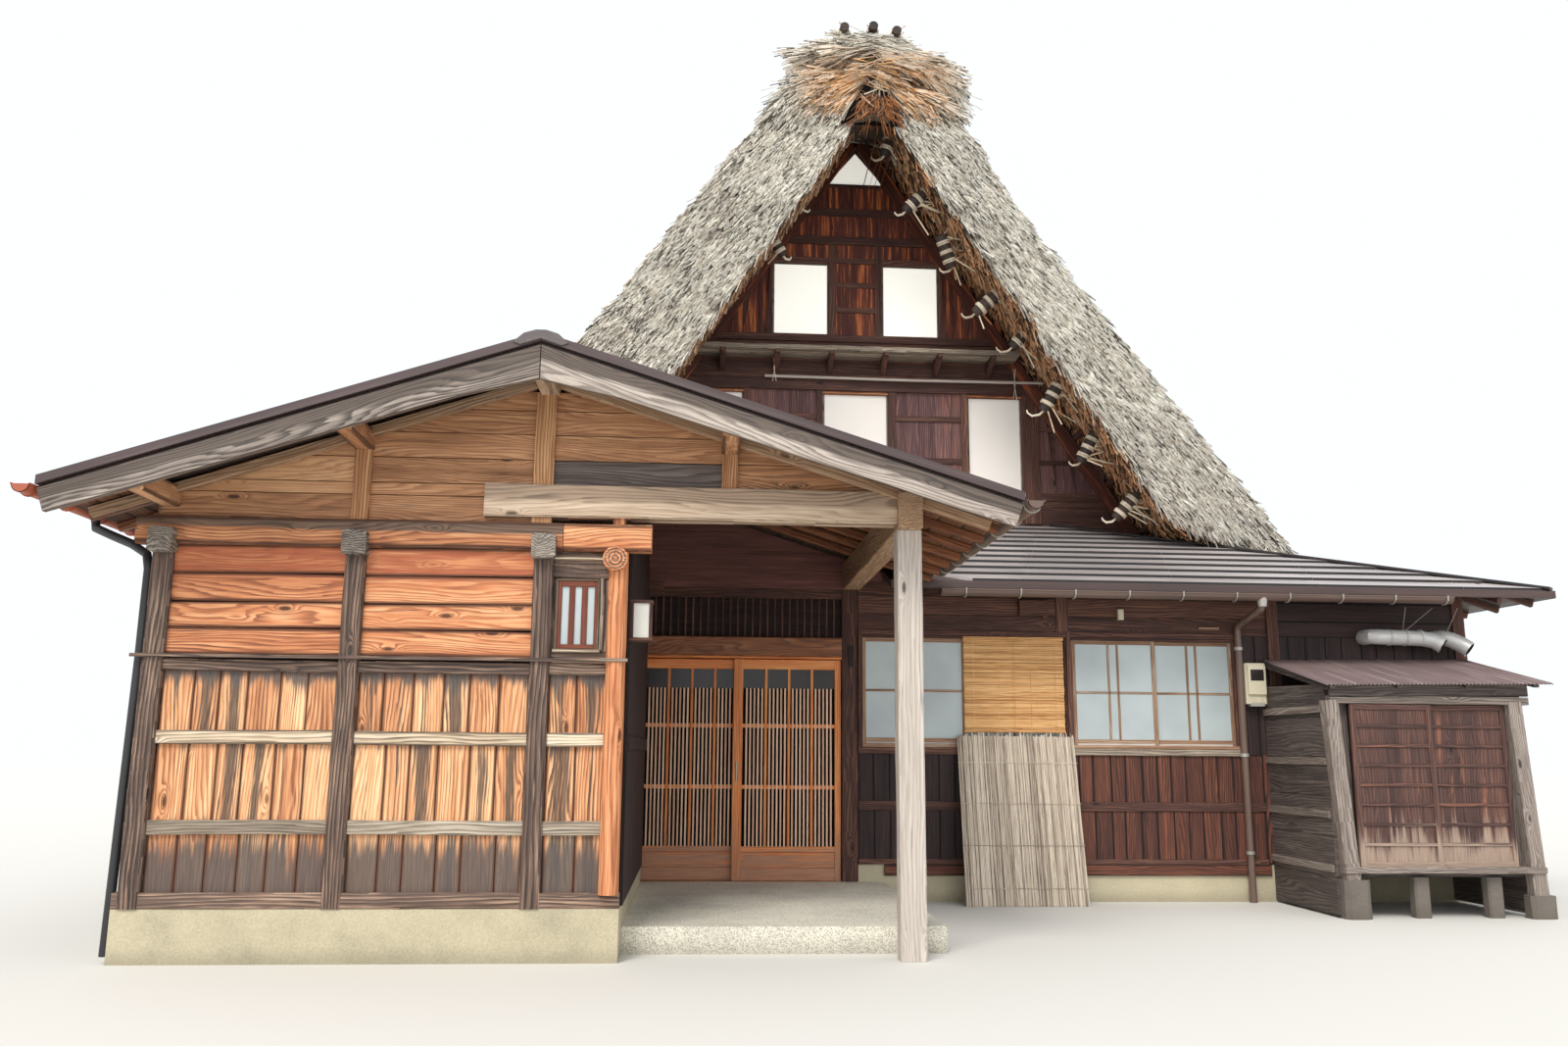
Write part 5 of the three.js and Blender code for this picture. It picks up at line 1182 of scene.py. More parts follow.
def add_lattice_door(name, x0, front, right_leaf):
    """Stiles, rails and a fine lattice over dark glass."""
    door = Piece(name + "_lattice", SLAT_WOOD, DARK_GLASS, SHADE_SHEET, DOOR_WOOD)
    x1 = x0 + DOOR_WIDTH
    low, high = DOOR_Z
    height = high - low
    back = front + 0.033
    stiles = (0.078, 0.052) if right_leaf else (0.052, 0.078)
    at = lambda share: low + height * share
    door.box((x0, front, low), (x0 + stiles[0], back, high), "z", 3)
    door.box((x1 - stiles[1], front, low), (x1, back, high), "z", 3)
    inner0, inner1 = x0 + stiles[0], x1 - stiles[1]
    for a, b in ((0.0, 0.055), (0.125, 0.150), (0.955, 1.0)):
        door.box((inner0, front + 0.002, at(a)), (inner1, back - 0.002, at(b)), "x", 3)
    for a, b in ((0.406, 0.424), (0.684, 0.702)):
        door.box((inner0, front + 0.007, at(a)), (inner1, back - 0.002, at(b)), "x", 3)
    door.box((inner0, front + 0.013, at(0.055)), (inner1, back - 0.006, at(0.125)), "x", 3)
    door.box((inner0 + 0.03, front + 0.009, at(0.068)), (inner1 - 0.03, front + 0.014, at(0.112)), "x", 3)
    # A dark sheet behind the slats: painted shade of the room behind the lattice.
    door.box((inner0, front + 0.0115, at(0.15)), (inner1, back - 0.004, at(0.866)), "z", 2, 0)
    door.box((inner0, front + 0.018, at(0.866)), (inner1, back - 0.004, at(0.955)), "z", 1, 0)
    bays, slats, half = 4, 5, 0.0072
    width = (inner1 - inner0) / bays
    for i in range(bays):
        a = inner0 + width * i
        if i:
            door.box((a - 0.011, front + 0.003, at(0.15)), (a + 0.011, back - 0.004, at(0.955)), "z", 3)
        for k in range(1, slats + 1):
            x = a + width * k / (slats + 1)
            door.box((x - half, front + 0.004, at(0.15)), (x + half, front + 0.011, at(0.866)), "z", 0, 0.001)
    if right_leaf:
        pull = Piece("door_pull", RAIL_WOOD)
        pull.box((x0 + 0.022, front - 0.002, at(0.44)), (x0 + 0.046, front + 0.003, at(0.53)), "z", 0, 0.001)
        pull.make(name + "_leaf")
    door.make(name + "_leaf", [name])


# Main front wall

def boarded(piece, x0, x1, z0, z1, count, skin=0, grain="z"):
    """Boards laid on the front wall between two places along x and z."""
    for a, b in row_of(*((x0, x1) if grain == "z" else (z0, z1)), count):
        front = MAIN_FRONT - 0.012 - rng.uniform(0, 0.002)
        if grain == "z":
            piece.box((a, front, z0), (b, MAIN_FRONT, z1), grain, skin, 0.002)
        else:
            piece.box((x0, front, a), (x1, MAIN_FRONT, b), grain, skin, 0.002)


def add_front_wall():
    """Boards, rails and posts of the front wall beside the doors, and its two windows."""
    wall = Piece("front_wall_boarding", RED_BOARDS, DARK_BOARDS, MAROON_FRAME, WINDOW_WOOD, EAVE_WOOD,
                 BEIGE_PAINT)
    y = MAIN_FRONT
    low, top = FLOOR + 0.012, 2.640

    def strip(x0, x1, z0, z1, depth, grain="x", skin=2):
        """A member standing proud of the wall."""
        wall.box((x0, y - depth, z0), (x1, y, z1), grain, skin)

    for z0, z1 in ((low, WALL_RAIL[0]), (WALL_RAIL[1], 1.190)):
        boarded(wall, 1.345, 2.275, z0, z1, 7, 1)
        boarded(wall, 2.275, 4.80, z0, z1, 19)
    strip(1.342, 4.80, *WALL_RAIL, 0.026)
    strip(1.342, 3.131, 1.190, 1.243, 0.030)
    strip(3.131, 4.66, 1.190, 1.243, 0.034, skin=4)
    strip(1.342, 4.80, low - 0.012, low + 0.03, 0.020)
    strip(1.553, 4.82, 0.212, low - 0.013, 0.022, skin=0)
    for x, skin in ((2.930, 2), (3.590, 5)):
        wall.box((x, y - 0.045, 2.335), (x + 0.050, y, 2.425), "z", skin, 0.004)
    boarded(wall, 1.345, 4.905, 2.210, top, 3, 2, "x")
    boarded(wall, 4.905, 6.685, 2.210, top, 3, 1, "x")
    boarded(wall, 4.62, 6.685, 1.20, 2.210, 13, 1)
    boarded(wall, 4.80, 6.685, low, 1.20, 12, 0)
    strip(1.342, 4.66, 2.180, 2.225, 0.026)
    for x in (1.342, 3.131, 4.613):
        strip(x, x + 0.036, 1.20, 2.23, 0.028, "z")
    strip(3.050, 3.157, 2.225, top, 0.024, "z")
    strip(4.905, 5.005, low - 0.012, top, 0.040, "z")
    strip(6.590, 6.690, low - 0.012, top, 0.030, "z")
    strip(2.724, 2.971, 2.358, 2.490, 0.070)
    wall.box((4.300, y - 0.030, 2.262), (4.480, y - 0.012, 2.282), "x", 3, 0.001)
    wall.make()
    add_front_window("window_left", LEFT_WINDOW, [
        (1.375, 2.262, (0.5,)), (2.228, 3.120, (0.5,))])
    add_front_window("window_right", RIGHT_WINDOW, [
        (3.178, 3.912, (0.44, 0.55)), (3.876, 4.601, (0.45, 0.56))])


def add_front_window(node, span, sashes):
    """Two sliding sashes of frosted lights in a worn frame."""
    window = Piece(node + "_sashes", WINDOW_WOOD, FROSTED, MAROON_FRAME, PORCH_WOOD)
    low, high = WINDOW_Z
    left, right = span[0] + 0.001, span[1] - 0.001
    y = MAIN_FRONT - 0.018
    deep = y + 0.078
    window.box((left, y, low + 0.001), (right, deep, low + 0.030), "x", 0)
    window.box((left, y + 0.004, high - 0.024), (right, deep, high - 0.001), "x", 2)
    for x in (left, right - 0.014):
        window.box((x, y + 0.004, low), (x + 0.014, deep, high), "z", 2)
    rim = 0.034
    z0, z1 = low + 0.028, high - 0.022
    middle = (z0 + z1) / 2
    for (x0, x1, uprights), front in zip(sashes, (y + 0.012, y + 0.042)):
        back = front + 0.024
        a, b = x0 + rim, x1 - rim
        window.box((x0, front, z0), (a, back, z1), "z")
        window.box((b, front, z0), (x1, back, z1), "z")
        window.box((a, front + 0.001, z0), (b, back, z0 + 0.018), "x", 3)
        window.box((a, front + 0.001, z0 + 0.018), (b, back, z0 + 0.050), "x")
        window.box((a, front + 0.001, z1 - rim), (b, back, z1), "x")
        window.box((a, front + 0.012, z0 + 0.04), (b, front + 0.018, z1 - 0.02), "x", 1, 0)
        window.box((a, front + 0.005, middle - 0.010), (b, back - 0.003, middle + 0.010), "x")
        for share in uprights:
            x = x0 + (x1 - x0) * share
            window.box((x - 0.010, front + 0.005, z0 + 0.04), (x + 0.010, back - 0.003, z1 - 0.02), "z")
    window.make(replaces=[node])


def add_blind_and_screen():
    """The bamboo blind before the left window, and the reed screen that leans on the wall below."""
    blind = Piece("rolled_bamboo_blind", BAMBOO)
    x0, x1 = 2.240, 3.098
    foot, head = 1.378, 2.170
    z = foot
    while z < head:
        size = rng.uniform(0.0055, 0.0075)
        shift = rng.uniform(-0.006, 0.006)
        blind.box((x0 + shift, 2.8495, z), (x1 + shift, 2.8575, z + size), "x", 0, 0.0015)
        z += size + 0.0008
    for x in (2.32, 2.53, 2.67, 2.81, 3.02):
        blind.box((x, 2.8485, foot), (x + 0.003, 2.8600, head + 0.002), "z", 0, 0.0005)
    blind.box((x0 - 0.004, 2.845, 2.150), (x1 + 0.004, 2.860, 2.176), "x", 0, 0.003)
    blind.box((x0 - 0.004, 2.846, 1.372), (x1 + 0.004, 2.860, 1.386), "x", 0, 0.003)
    blind.make(replaces=["bamboo_blind"])

    screen = Piece("leaning_reed_screen", REED)
    foot, top = Vector((0, 2.570, 0.0)), Vector((0, 2.851, 1.370))
    left, right = 2.168, 3.168
    screen.bar((2.668, 2.574, 0.004), (2.668, 2.853, 1.340), 0.996, 0.005, (0, -1, 0), 0, 0.001)
    x = left
    while x < right:
        radius = rng.uniform(0.0035, 0.0055)
        lean = rng.uniform(-0.005, 0.005)
        tall = rng.uniform(0.965, 1.010)
        out = rng.uniform(-0.003, 0.003)
        start = foot + Vector((x, out, 0.002))
        end = foot.lerp(top, min(tall, 1.005)) + Vector((x + lean, out, 0.0))
        screen.tube([start, end], radius, 5, 0, False)
        x += radius * 2 + 0.0006
    for share in (0.10, 0.34, 0.58, 0.82):
        at = foot.lerp(top, share)
        for out in (-0.007, 0.007):
            start, end = at + Vector((left - 0.002, out, 0)), at + Vector((right + 0.004, out, 0))
            screen.tube([start, end], 0.0028, 5)
    screen.make(replaces=["reed_screen"])


# Lean-to roof

def add_lean_to():
    """The ground floor's roof on all four sides, with its hips, eave edges and rafters."""
    step, rows = 0.3018, 11
    roof = Piece("lean_to_roofing", ROOF_METAL, SHADED_RISER_METAL)

    def front_span(inset):
        """A front row starts where the wing's right slope lets it."""
        z = lean_to(inset)
        left = FRONT_EAVE_START if EAVE_FRONT + inset < LEFT_EAVE_START else EAVE_LEFT + inset
        if z < WING_RIDGE[1]:
            left = max(left, wing_reach(1, z))
        return (left, EAVE_RIGHT - inset)

    roof_rows(roof, lambda t, i: (t, EAVE_FRONT + i, lean_to(i)), front_span, rows, step)
    roof_rows(roof, lambda t, i: (t, EAVE_BACK - i, lean_to(i)),
              lambda i: (EAVE_LEFT + i, EAVE_RIGHT - i), rows, step)
    roof_rows(roof, lambda t, i: (EAVE_RIGHT - i, t, lean_to(i)),
              lambda i: (EAVE_FRONT + i, EAVE_BACK - i), rows, step)
    roof_rows(roof, lambda t, i: (EAVE_LEFT + i, t, lean_to(i)),
              lambda i: (max(LEFT_EAVE_START, EAVE_FRONT + i), EAVE_BACK - i), rows, step)
    run = 3.30
    for x, y, dx, dy in ((EAVE_RIGHT, EAVE_FRONT, -1, 1), (EAVE_RIGHT, EAVE_BACK, -1, -1),
                         (EAVE_LEFT, EAVE_BACK, 1, -1)):
        roof.bar((x, y, lean_to(0) + 0.020), (x + dx * run, y + dy * run, lean_to(run) + 0.020),
                 0.13, 0.030, bevel=0.010, skin=1)
    roof.make()

    trim = Piece("eave_timber", EAVE_METAL, MAROON_FRAME)
    edge = 0.020
    for x0, y0, x1, y1, grain in (
            (FRONT_EAVE_START, EAVE_FRONT - edge, EAVE_RIGHT, EAVE_FRONT, "x"),
            (EAVE_LEFT, EAVE_BACK, EAVE_RIGHT, EAVE_BACK + edge, "x"),
            (EAVE_RIGHT, EAVE_FRONT - edge, EAVE_RIGHT + edge, EAVE_BACK + edge, "y"),
            (EAVE_LEFT - edge, LEFT_EAVE_START, EAVE_LEFT, EAVE_BACK + edge, "y")):
        trim.box((x0, y0, 2.520), (x1, y1, 2.585), grain, 0, 0.004)

    def rafter(outer, inner):
        """A rafter under the roofing, from the eave to the wall."""
        drop = ROOF_SKIN + 0.026
        trim.bar((*outer, lean_to(0.01) - drop), (*inner, lean_to(0.5) - drop), 0.040, 0.048, skin=1)

    def places(start, stop, pitch=0.455):
        """Where the rafters of one side stand."""
        return [start + pitch * i for i in range(math.ceil((stop - start) / pitch))]

    for x in places(1.72, EAVE_RIGHT - 0.05):
        rafter((x, EAVE_FRONT + 0.01), (x, MAIN_FRONT))
    for x in places(EAVE_LEFT + 0.25, EAVE_RIGHT - 0.1):
        rafter((x, EAVE_BACK - 0.01), (x, MAIN_BACK))
    for y in places(EAVE_FRONT + 0.25, EAVE_BACK - 0.1):
        rafter((EAVE_RIGHT - 0.01, y), (MAIN_RIGHT, y))
        if y > LEFT_EAVE_START + 0.05:
            rafter((EAVE_LEFT + 0.01, y), (MAIN_LEFT, y))
    trim.make()


# Other walls

def add_other_walls():
    """Boards, rails and window bars on the sides and back."""
    walls = Piece("side_and_back_boarding", RED_BOARDS, DARK_BOARDS, MAROON_FRAME, WINDOW_WOOD)
    low, top = FLOOR + 0.002, 2.66
    sill, head = WINDOW_Z
    middle = (sill + head) / 2
    board, board_depth = 0.16, (0.0, 0.012)
    for plane, out, axis, start, end, windows in (
            (MAIN_LEFT, -1, 1, LEFT_EAVE_START, MAIN_BACK, SIDE_WINDOWS),
            (MAIN_RIGHT, 1, 1, MAIN_FRONT, MAIN_BACK, SIDE_WINDOWS),
            (MAIN_BACK, 1, 0, MAIN_LEFT, MAIN_RIGHT, BACK_WINDOWS)):
        along, upright = Vector((1 - axis, axis, 0)), (0, 0, 1)

        def panel(a, b, z0, z1, depths, skin, grain=upright):
            """A strip along the wall, between two depths from its face."""
            rings = []
            for depth in depths:
                flat = plane + out * depth
                rings.append([(flat, t, z) if axis else (t, flat, z)
                              for t, z in ((a, z0), (b, z0), (b, z1), (a, z1))])
            walls.loft(rings, grain, skin)

        for a, b in row_of(start, end, int((end - start) / board)):
            panel(a, b, low, WALL_RAIL[0], board_depth, 0)
            panel(a, b, WALL_RAIL[1], sill - 0.05, board_depth, 0)
        for z0, z1, depth in ((low, low + 0.06, 0.02), (*WALL_RAIL, 0.024), (sill - 0.05, sill, 0.030),
                              (head, head + 0.045, 0.026)):
            panel(start, end, z0, z1, (0.0, depth), 2, along)
        for z0, z1 in row_of(head + 0.045, top, 3):
            panel(start, end, z0, z1, board_depth, 1, along)
        for a, b in between(start, [(w, w + OTHER_WINDOW) for w in windows], end):
            for s, e in row_of(a, b, int((b - a) / board)):
                panel(s, e, sill, head, board_depth, 1)
        for s, e in ((start, start + 0.1), (end - 0.1, end)):
            panel(s, e, low, top, (0.0, 0.03), 2)
        for w in windows:
            for s in (w - 0.05, w + OTHER_WINDOW):
                panel(s, s + 0.05, sill - 0.05, head + 0.045, (0.0, 0.028), 2)
            step = OTHER_WINDOW / 2
            for s in (w, w + step):
                for a in (s, s + step - 0.036):
                    panel(a, a + 0.036, sill, head, (-0.03, -0.005), 3)
                for a in (s + step * 0.36, s + step * 0.64):
                    panel(a - 0.010, a + 0.010, sill, head, (-0.09, -0.012), 3)
            for z0, z1 in ((sill, sill + 0.045), (middle - 0.01, middle + 0.01), (head - 0.034, head)):
                panel(w, w + OTHER_WINDOW, z0, z1, (-0.08, -0.010), 3, along)
    walls.make()


# Upper gable

def add_gable(tag, back):
    """Boards, rails, frames and lights of one upper gable."""
    y = CORE_FRONT
    boards = Piece("upper_gable_boards_" + tag, MAROON_BOARDS, MAROON_FRAME, LOFT_BOARDS, VERGE_WOOD,
                   WHITE_PAPER, SOFFIT_BOARD, ORANGE_PLANKS, LOFT_PAPER)
    boards.mirror = back
    c = CENTRE_X
    wide = 3.4      # past the slopes on both sides, which cut it back
    across, upright = (1, 0, 0), (0, 0, 1)

    def limit(z):
        """How far the boards reach from the centre line to the thatch."""
        return soffit_reach(z, 0.085)

    def clipped(a, b, z0, z1, depth, skin, grain):
        """A panel between reaches a and b, cut by the roof's slope."""
        low_reach, top_reach = limit(z0), limit(z1)
        left0, right0 = max(a, -low_reach), min(b, low_reach)
        left1, right1 = max(a, -top_reach), min(b, top_reach)
        if right0 - left0 < 0.03:
            return
        if right1 - left1 < 0.004:
            middle = min(max((left1 + right1) / 2, left0), right0)
            left1, right1 = middle - 0.002, middle + 0.002
        outline = [(c + left0, z0), (c + right0, z0), (c + right1, z1), (c + left1, z1)]
        boards.prism(outline, "y", y - depth, y, grain, skin)

    def planks(a, b, z0, z1, skin, pitch):
        """Upright boards side by side, each a little more or less proud."""
        for s, e in row_of(a, b, round((b - a) / pitch)):
            clipped(s, e, z0, z1, 0.012 + rng.uniform(0, 0.003), skin, upright)

    for z0, z1 in row_of(3.41, 4.05, 4):
        clipped(-wide, wide, z0, z1, 0.012, 1, across)
    for a, b in between(-wide, LOFT_LIGHTS, wide):
        planks(a, b, LOFT_Z[0], LOFT_Z[1], 2, 0.19)
    # The boards behind the shelf take the darker frame wood: partly their own dark colour, partly painted
    # shade under the shelf.
    for z0, z1 in row_of(5.20, 5.80, 4):
        clipped(-wide, wide, z0, z1, 0.012, 1, across)
    for a, b in between(-wide, ATTIC_LIGHTS, wide):
        planks(a, b, ATTIC_Z[0], 6.70, 0, 0.16)
    for z0, z1, pitch in ((6.70, 6.905, 0.30), (7.00, 7.255, 0.24), (7.34, 7.64, 0.20)):
        planks(-wide, wide, z0, z1, 0, pitch)
    base, half, top = APEX_LIGHT
    for s in (-1, 1):
        outline = [(c + s * half, base), (c + s * limit(base), base), (c + s * limit(8.10), 8.10),
                   (c + s * 0.002, 8.10), (c + s * 0.002, top)]
        boards.prism(outline, "y", y - 0.012, y, upright, 1)
    for z0, z1, depth in (
            (3.96, 4.05, 0.034), (5.17, 5.31, 0.050), (5.74, 5.82, 0.040), (6.68, 6.74, 0.036),
            (6.905, 7.000, 0.040), (7.255, 7.340, 0.040), (7.61, 7.65, 0.03)):
        clipped(-wide, wide, z0, z1, depth, 1, across)
    uprights = [(1.877, 2.058, 3.70, 5.17), (-2.058, -1.877, 3.70, 5.17)]
    for a, b in between(-wide, LOFT_LIGHTS, wide)[1:-1]:
        uprights += [(a + 0.002, a + 0.075, *LOFT_Z), (b - 0.075, b - 0.002, *LOFT_Z)]
    for a, b in ATTIC_LIGHTS:
        uprights += [(a - 0.080, a - 0.002, ATTIC_Z[0], 6.90), (b + 0.002, b + 0.080, ATTIC_Z[0], 6.90)]
    for a, b, z0, z1 in uprights:
        clipped(a, b, z0, z1, 0.038, 1, upright)
    verge_board = 0.17
    for side in (-1, 1):
        outline = []
        for z in (3.55, 8.20):
            pair = [(c + side * limit(z), z), (c + side * (limit(z) - verge_board), z)]
            outline += pair if z < 5 else pair[::-1]
        boards.prism(outline, "y", y - 0.056, y - 0.038, (side, 0, -SOFFIT_SLOPE), 5)
    for a, b in ((-1.18, -0.45), (0.44, 1.18)):
        for z in (4.39, 4.87):
            clipped(a, b, z - 0.03, z + 0.03, 0.030, 1, across)
    for a, b in ((-3.2, -2.06), (2.06, 3.2)):
        for z in (4.40, 4.78):
            clipped(a, b, z - 0.025, z + 0.025, 0.028, 1, across)
    for z in (6.12, 6.42):
        clipped(-0.25, 0.24, z - 0.03, z + 0.03, 0.026, 1, across)
    lights = [(*light, *LOFT_Z, 7) for light in LOFT_LIGHTS]
    lights += [(*light, *ATTIC_Z, 4) for light in ATTIC_LIGHTS]
    bar = 0.020
    for a, b, z0, z1, paper in lights:
        for s in (a, b - bar):
            boards.box((c + s, y + 0.004, z0), (c + s + bar, y + 0.034, z1), "z", 3, 0.002)
        for s in (z0, z1 - bar):
            boards.box((c + a + bar, y + 0.004, s), (c + b - bar, y + 0.034, s + bar), "x", 3, 0.002)
        boards.box((c + a + bar, y + 0.012, z0 + bar), (c + b - bar, y + 0.018, z1 - bar), "z", paper, 0)
    for a, b in LOFT_LIGHTS:
        boards.box((c + a, y - 0.016, LOFT_Z[1] - 0.042), (c + b, y + 0.003, LOFT_Z[1]), "x", 6, 0.002)
    boards.prism([(c - half, base), (c + half, base), (c, top)], "y", y + 0.010, y + 0.016, upright, 4)
    boards.make()


def add_gable_shelf(tag, back):
    """Three planks on brackets under the attic's lights, a pole below them and two bundles of rope."""
    shelf = Piece("gable_shelf_timber_" + tag, EAVE_WOOD, MAROON_FRAME, PORCH_WOOD, ROPE)
    shelf.mirror = back
    c = CENTRE_X
    for y0, y1 in ((5.352, 5.448), (5.455, 5.560), (5.568, 5.695)):
        y = (y0 + y1) / 2
        shelf.bar((c - 1.788, y, 5.562), (c + 1.788, y, 5.562), y1 - y0, 0.052, cuts=14, wobble=0.006)
    for reach in (-1.5, -0.9, -0.3, 0.3, 0.9, 1.5):
        x = c + reach
        shelf.prism([(5.37, 5.535), (5.69, 5.365), (5.69, 5.535)], "x", x - 0.028, x + 0.028, (0, 1, 0), 1)
        shelf.box((x - 0.024, 5.36, 5.500), (x + 0.024, 5.69, 5.536), "y", 1)
    shelf.tube([(c - 1.03, 5.61, 5.302), (c + 0.6, 5.60, 5.29), (c + 2.12, 5.61, 5.305)], 0.016, 7, 2)
    for x, high, low in ((0.775, 5.53, 5.24), (3.483, 5.46, 5.09)):
        for shift in (-0.012, 0.014):
            shelf.tube([(x + shift, 5.60, high), (x - shift * 0.4, 5.585, (high + low) / 2),
                        (x + shift * 1.6, 5.60, low)], 0.005, 5, 3)
    shelf.make(replaces=() if back else ["gable_shelf"])


# Thatch

def thatch_core():
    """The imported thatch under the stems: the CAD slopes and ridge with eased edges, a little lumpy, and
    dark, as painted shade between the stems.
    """
    made = bpy.data.meshes.new("thatch_base")
    whole = bmesh.new()
    for name in ("thatch_left", "thatch_right", "thatch_ridge"):
        part = bmesh.new()
        part.from_mesh(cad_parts[name].data)
        bmesh.ops.remove_doubles(part, verts=part.verts, dist=0.0005)
        for _ in range(8):
            long_edges = [e for e in part.edges if e.calc_length() > 0.24]
            if not long_edges:
                break
            bmesh.ops.subdivide_edges(part, edges=long_edges, cuts=1)
            bmesh.ops.triangulate(part, faces=part.faces[:])
        seam = SHIFT.x + CENTRE_X
        free = [v for v in part.verts if abs(v.co.x - seam) > 0.12 or name == "thatch_ridge"]
        for _ in range(3):
            bmesh.ops.smooth_vert(
                part, verts=free, factor=0.5, use_axis_x=True, use_axis_y=True, use_axis_z=True)
        part.normal_update()
        for vertex in free:
            spot = vertex.co * 1.6
            lump = noise.noise(spot) * 0.022 + noise.noise(spot * 3.1) * 0.012
            vertex.co += vertex.normal * (lump - 0.008)
        part.to_mesh(made)
        part.free()
        whole.from_mesh(made)
    whole.to_mesh(made)
    whole.free()
    made.materials.clear()
    made.materials.append(THATCH_BASE)
    made.polygons.foreach_set("use_smooth", [True] * len(made.polygons))
    made.polygons.foreach_set("material_index", [0] * len(made.polygons))
    set_corners(made, "grain", np.tile([0.0, 0.0, 0.4], (len(made.loops), 1)))
    base = bpy.data.objects.new("thatch_base", made)
    return attach(base, replaces=["thatch_left", "thatch_right", "thatch_ridge"])


# How many stems each region of the roof has
STRAW = {"front_verge": 42000, "back_verge": 18000, "soffit": 18000, "slope": 46000}
# Stands in the grain attribute for a stem's cut end, which the straw then draws dark: painted shade under
# each end
SHADED_CUT_END = -2.0
# The heights between which the front verge's stems turn level and stand out
NEAR_RIDGE = (7.95, 8.62)
# The dark opening at the peak of the front verge: (reach, height) from its tip down
PEAK_GAP = ((0.09, 8.40), (-0.01, 8.22), (-0.12, 8.02), (-0.24, 7.80), (-0.34, 7.60), (0.28, 7.60),
            (0.24, 7.82), (0.18, 8.06), (0.13, 8.26))


def in_peak_gap(spot):
    """Whether each place lies within the opening at the peak of the front verge."""
    reach, z = spot[:, 0] - CENTRE_X, spot[:, 2]
    inside = np.zeros(len(spot), bool)
    for (x0, z0), (x1, z1) in zip(PEAK_GAP, PEAK_GAP[1:] + PEAK_GAP[:1]):
        if z0 != z1:
            crosses = (z0 > z) != (z1 > z)
            inside ^= crosses & (reach < x0 + (z - z0) / (z1 - z0) * (x1 - x0))
    return inside & (spot[:, 1] < CENTRE_Y)


def scatter(base, draw):
    """Places and directions for the stems, sorted into regions of the roof."""
    mesh = base.data
    mesh.calc_loop_triangles()
    corners = np.empty(len(mesh.loop_triangles) * 3, np.int32)
    mesh.loop_triangles.foreach_get("vertices", corners)
    places = np.empty(len(mesh.vertices) * 3)
    mesh.vertices.foreach_get("co", places)
    places = places.reshape(-1, 3) - np.array(SHIFT)
    a, b, c = places[corners.reshape(-1, 3)].transpose(1, 0, 2)
    normals = np.cross(b - a, c - a)
    area = np.linalg.norm(normals, axis=1) / 2
    normals /= np.maximum(area * 2, 1e-9)[:, None]
    middle = (a + b + c) / 3
    side = np.sign(middle[:, 0] - CENTRE_X)
    depth = np.minimum(middle[:, 1], 2 * CENTRE_Y - middle[:, 1])
    inward = normals[:, 0] * side < -0.15
    seam = (np.abs(middle[:, 0] - CENTRE_X) < 0.04) & (np.abs(normals[:, 0]) > 0.9)
    hidden = (inward & (depth > CORE_FRONT + 0.12)) | seam
    verge = (np.abs(normals[:, 1]) > 0.5) & ~hidden
    front = middle[:, 1] < CENTRE_Y
    soffit = inward & ~verge & ~hidden
    slope = ~verge & ~inward & ~hidden
    regions = {}
    for name, chosen in (
            ("front_verge", verge & front), ("back_verge", verge & ~front),
            ("soffit", soffit), ("slope", slope)):
        weight = area * chosen
        pick = draw.choice(len(area), STRAW[name], p=weight / weight.sum())
        u, v = draw.random((2, STRAW[name]))
        flip = u + v > 1
        u[flip], v[flip] = 1 - u[flip], 1 - v[flip]
        spot = a[pick] + (b - a)[pick] * u[:, None] + (c - a)[pick] * v[:, None]
        regions[name] = (spot, normals[pick])
    return regions


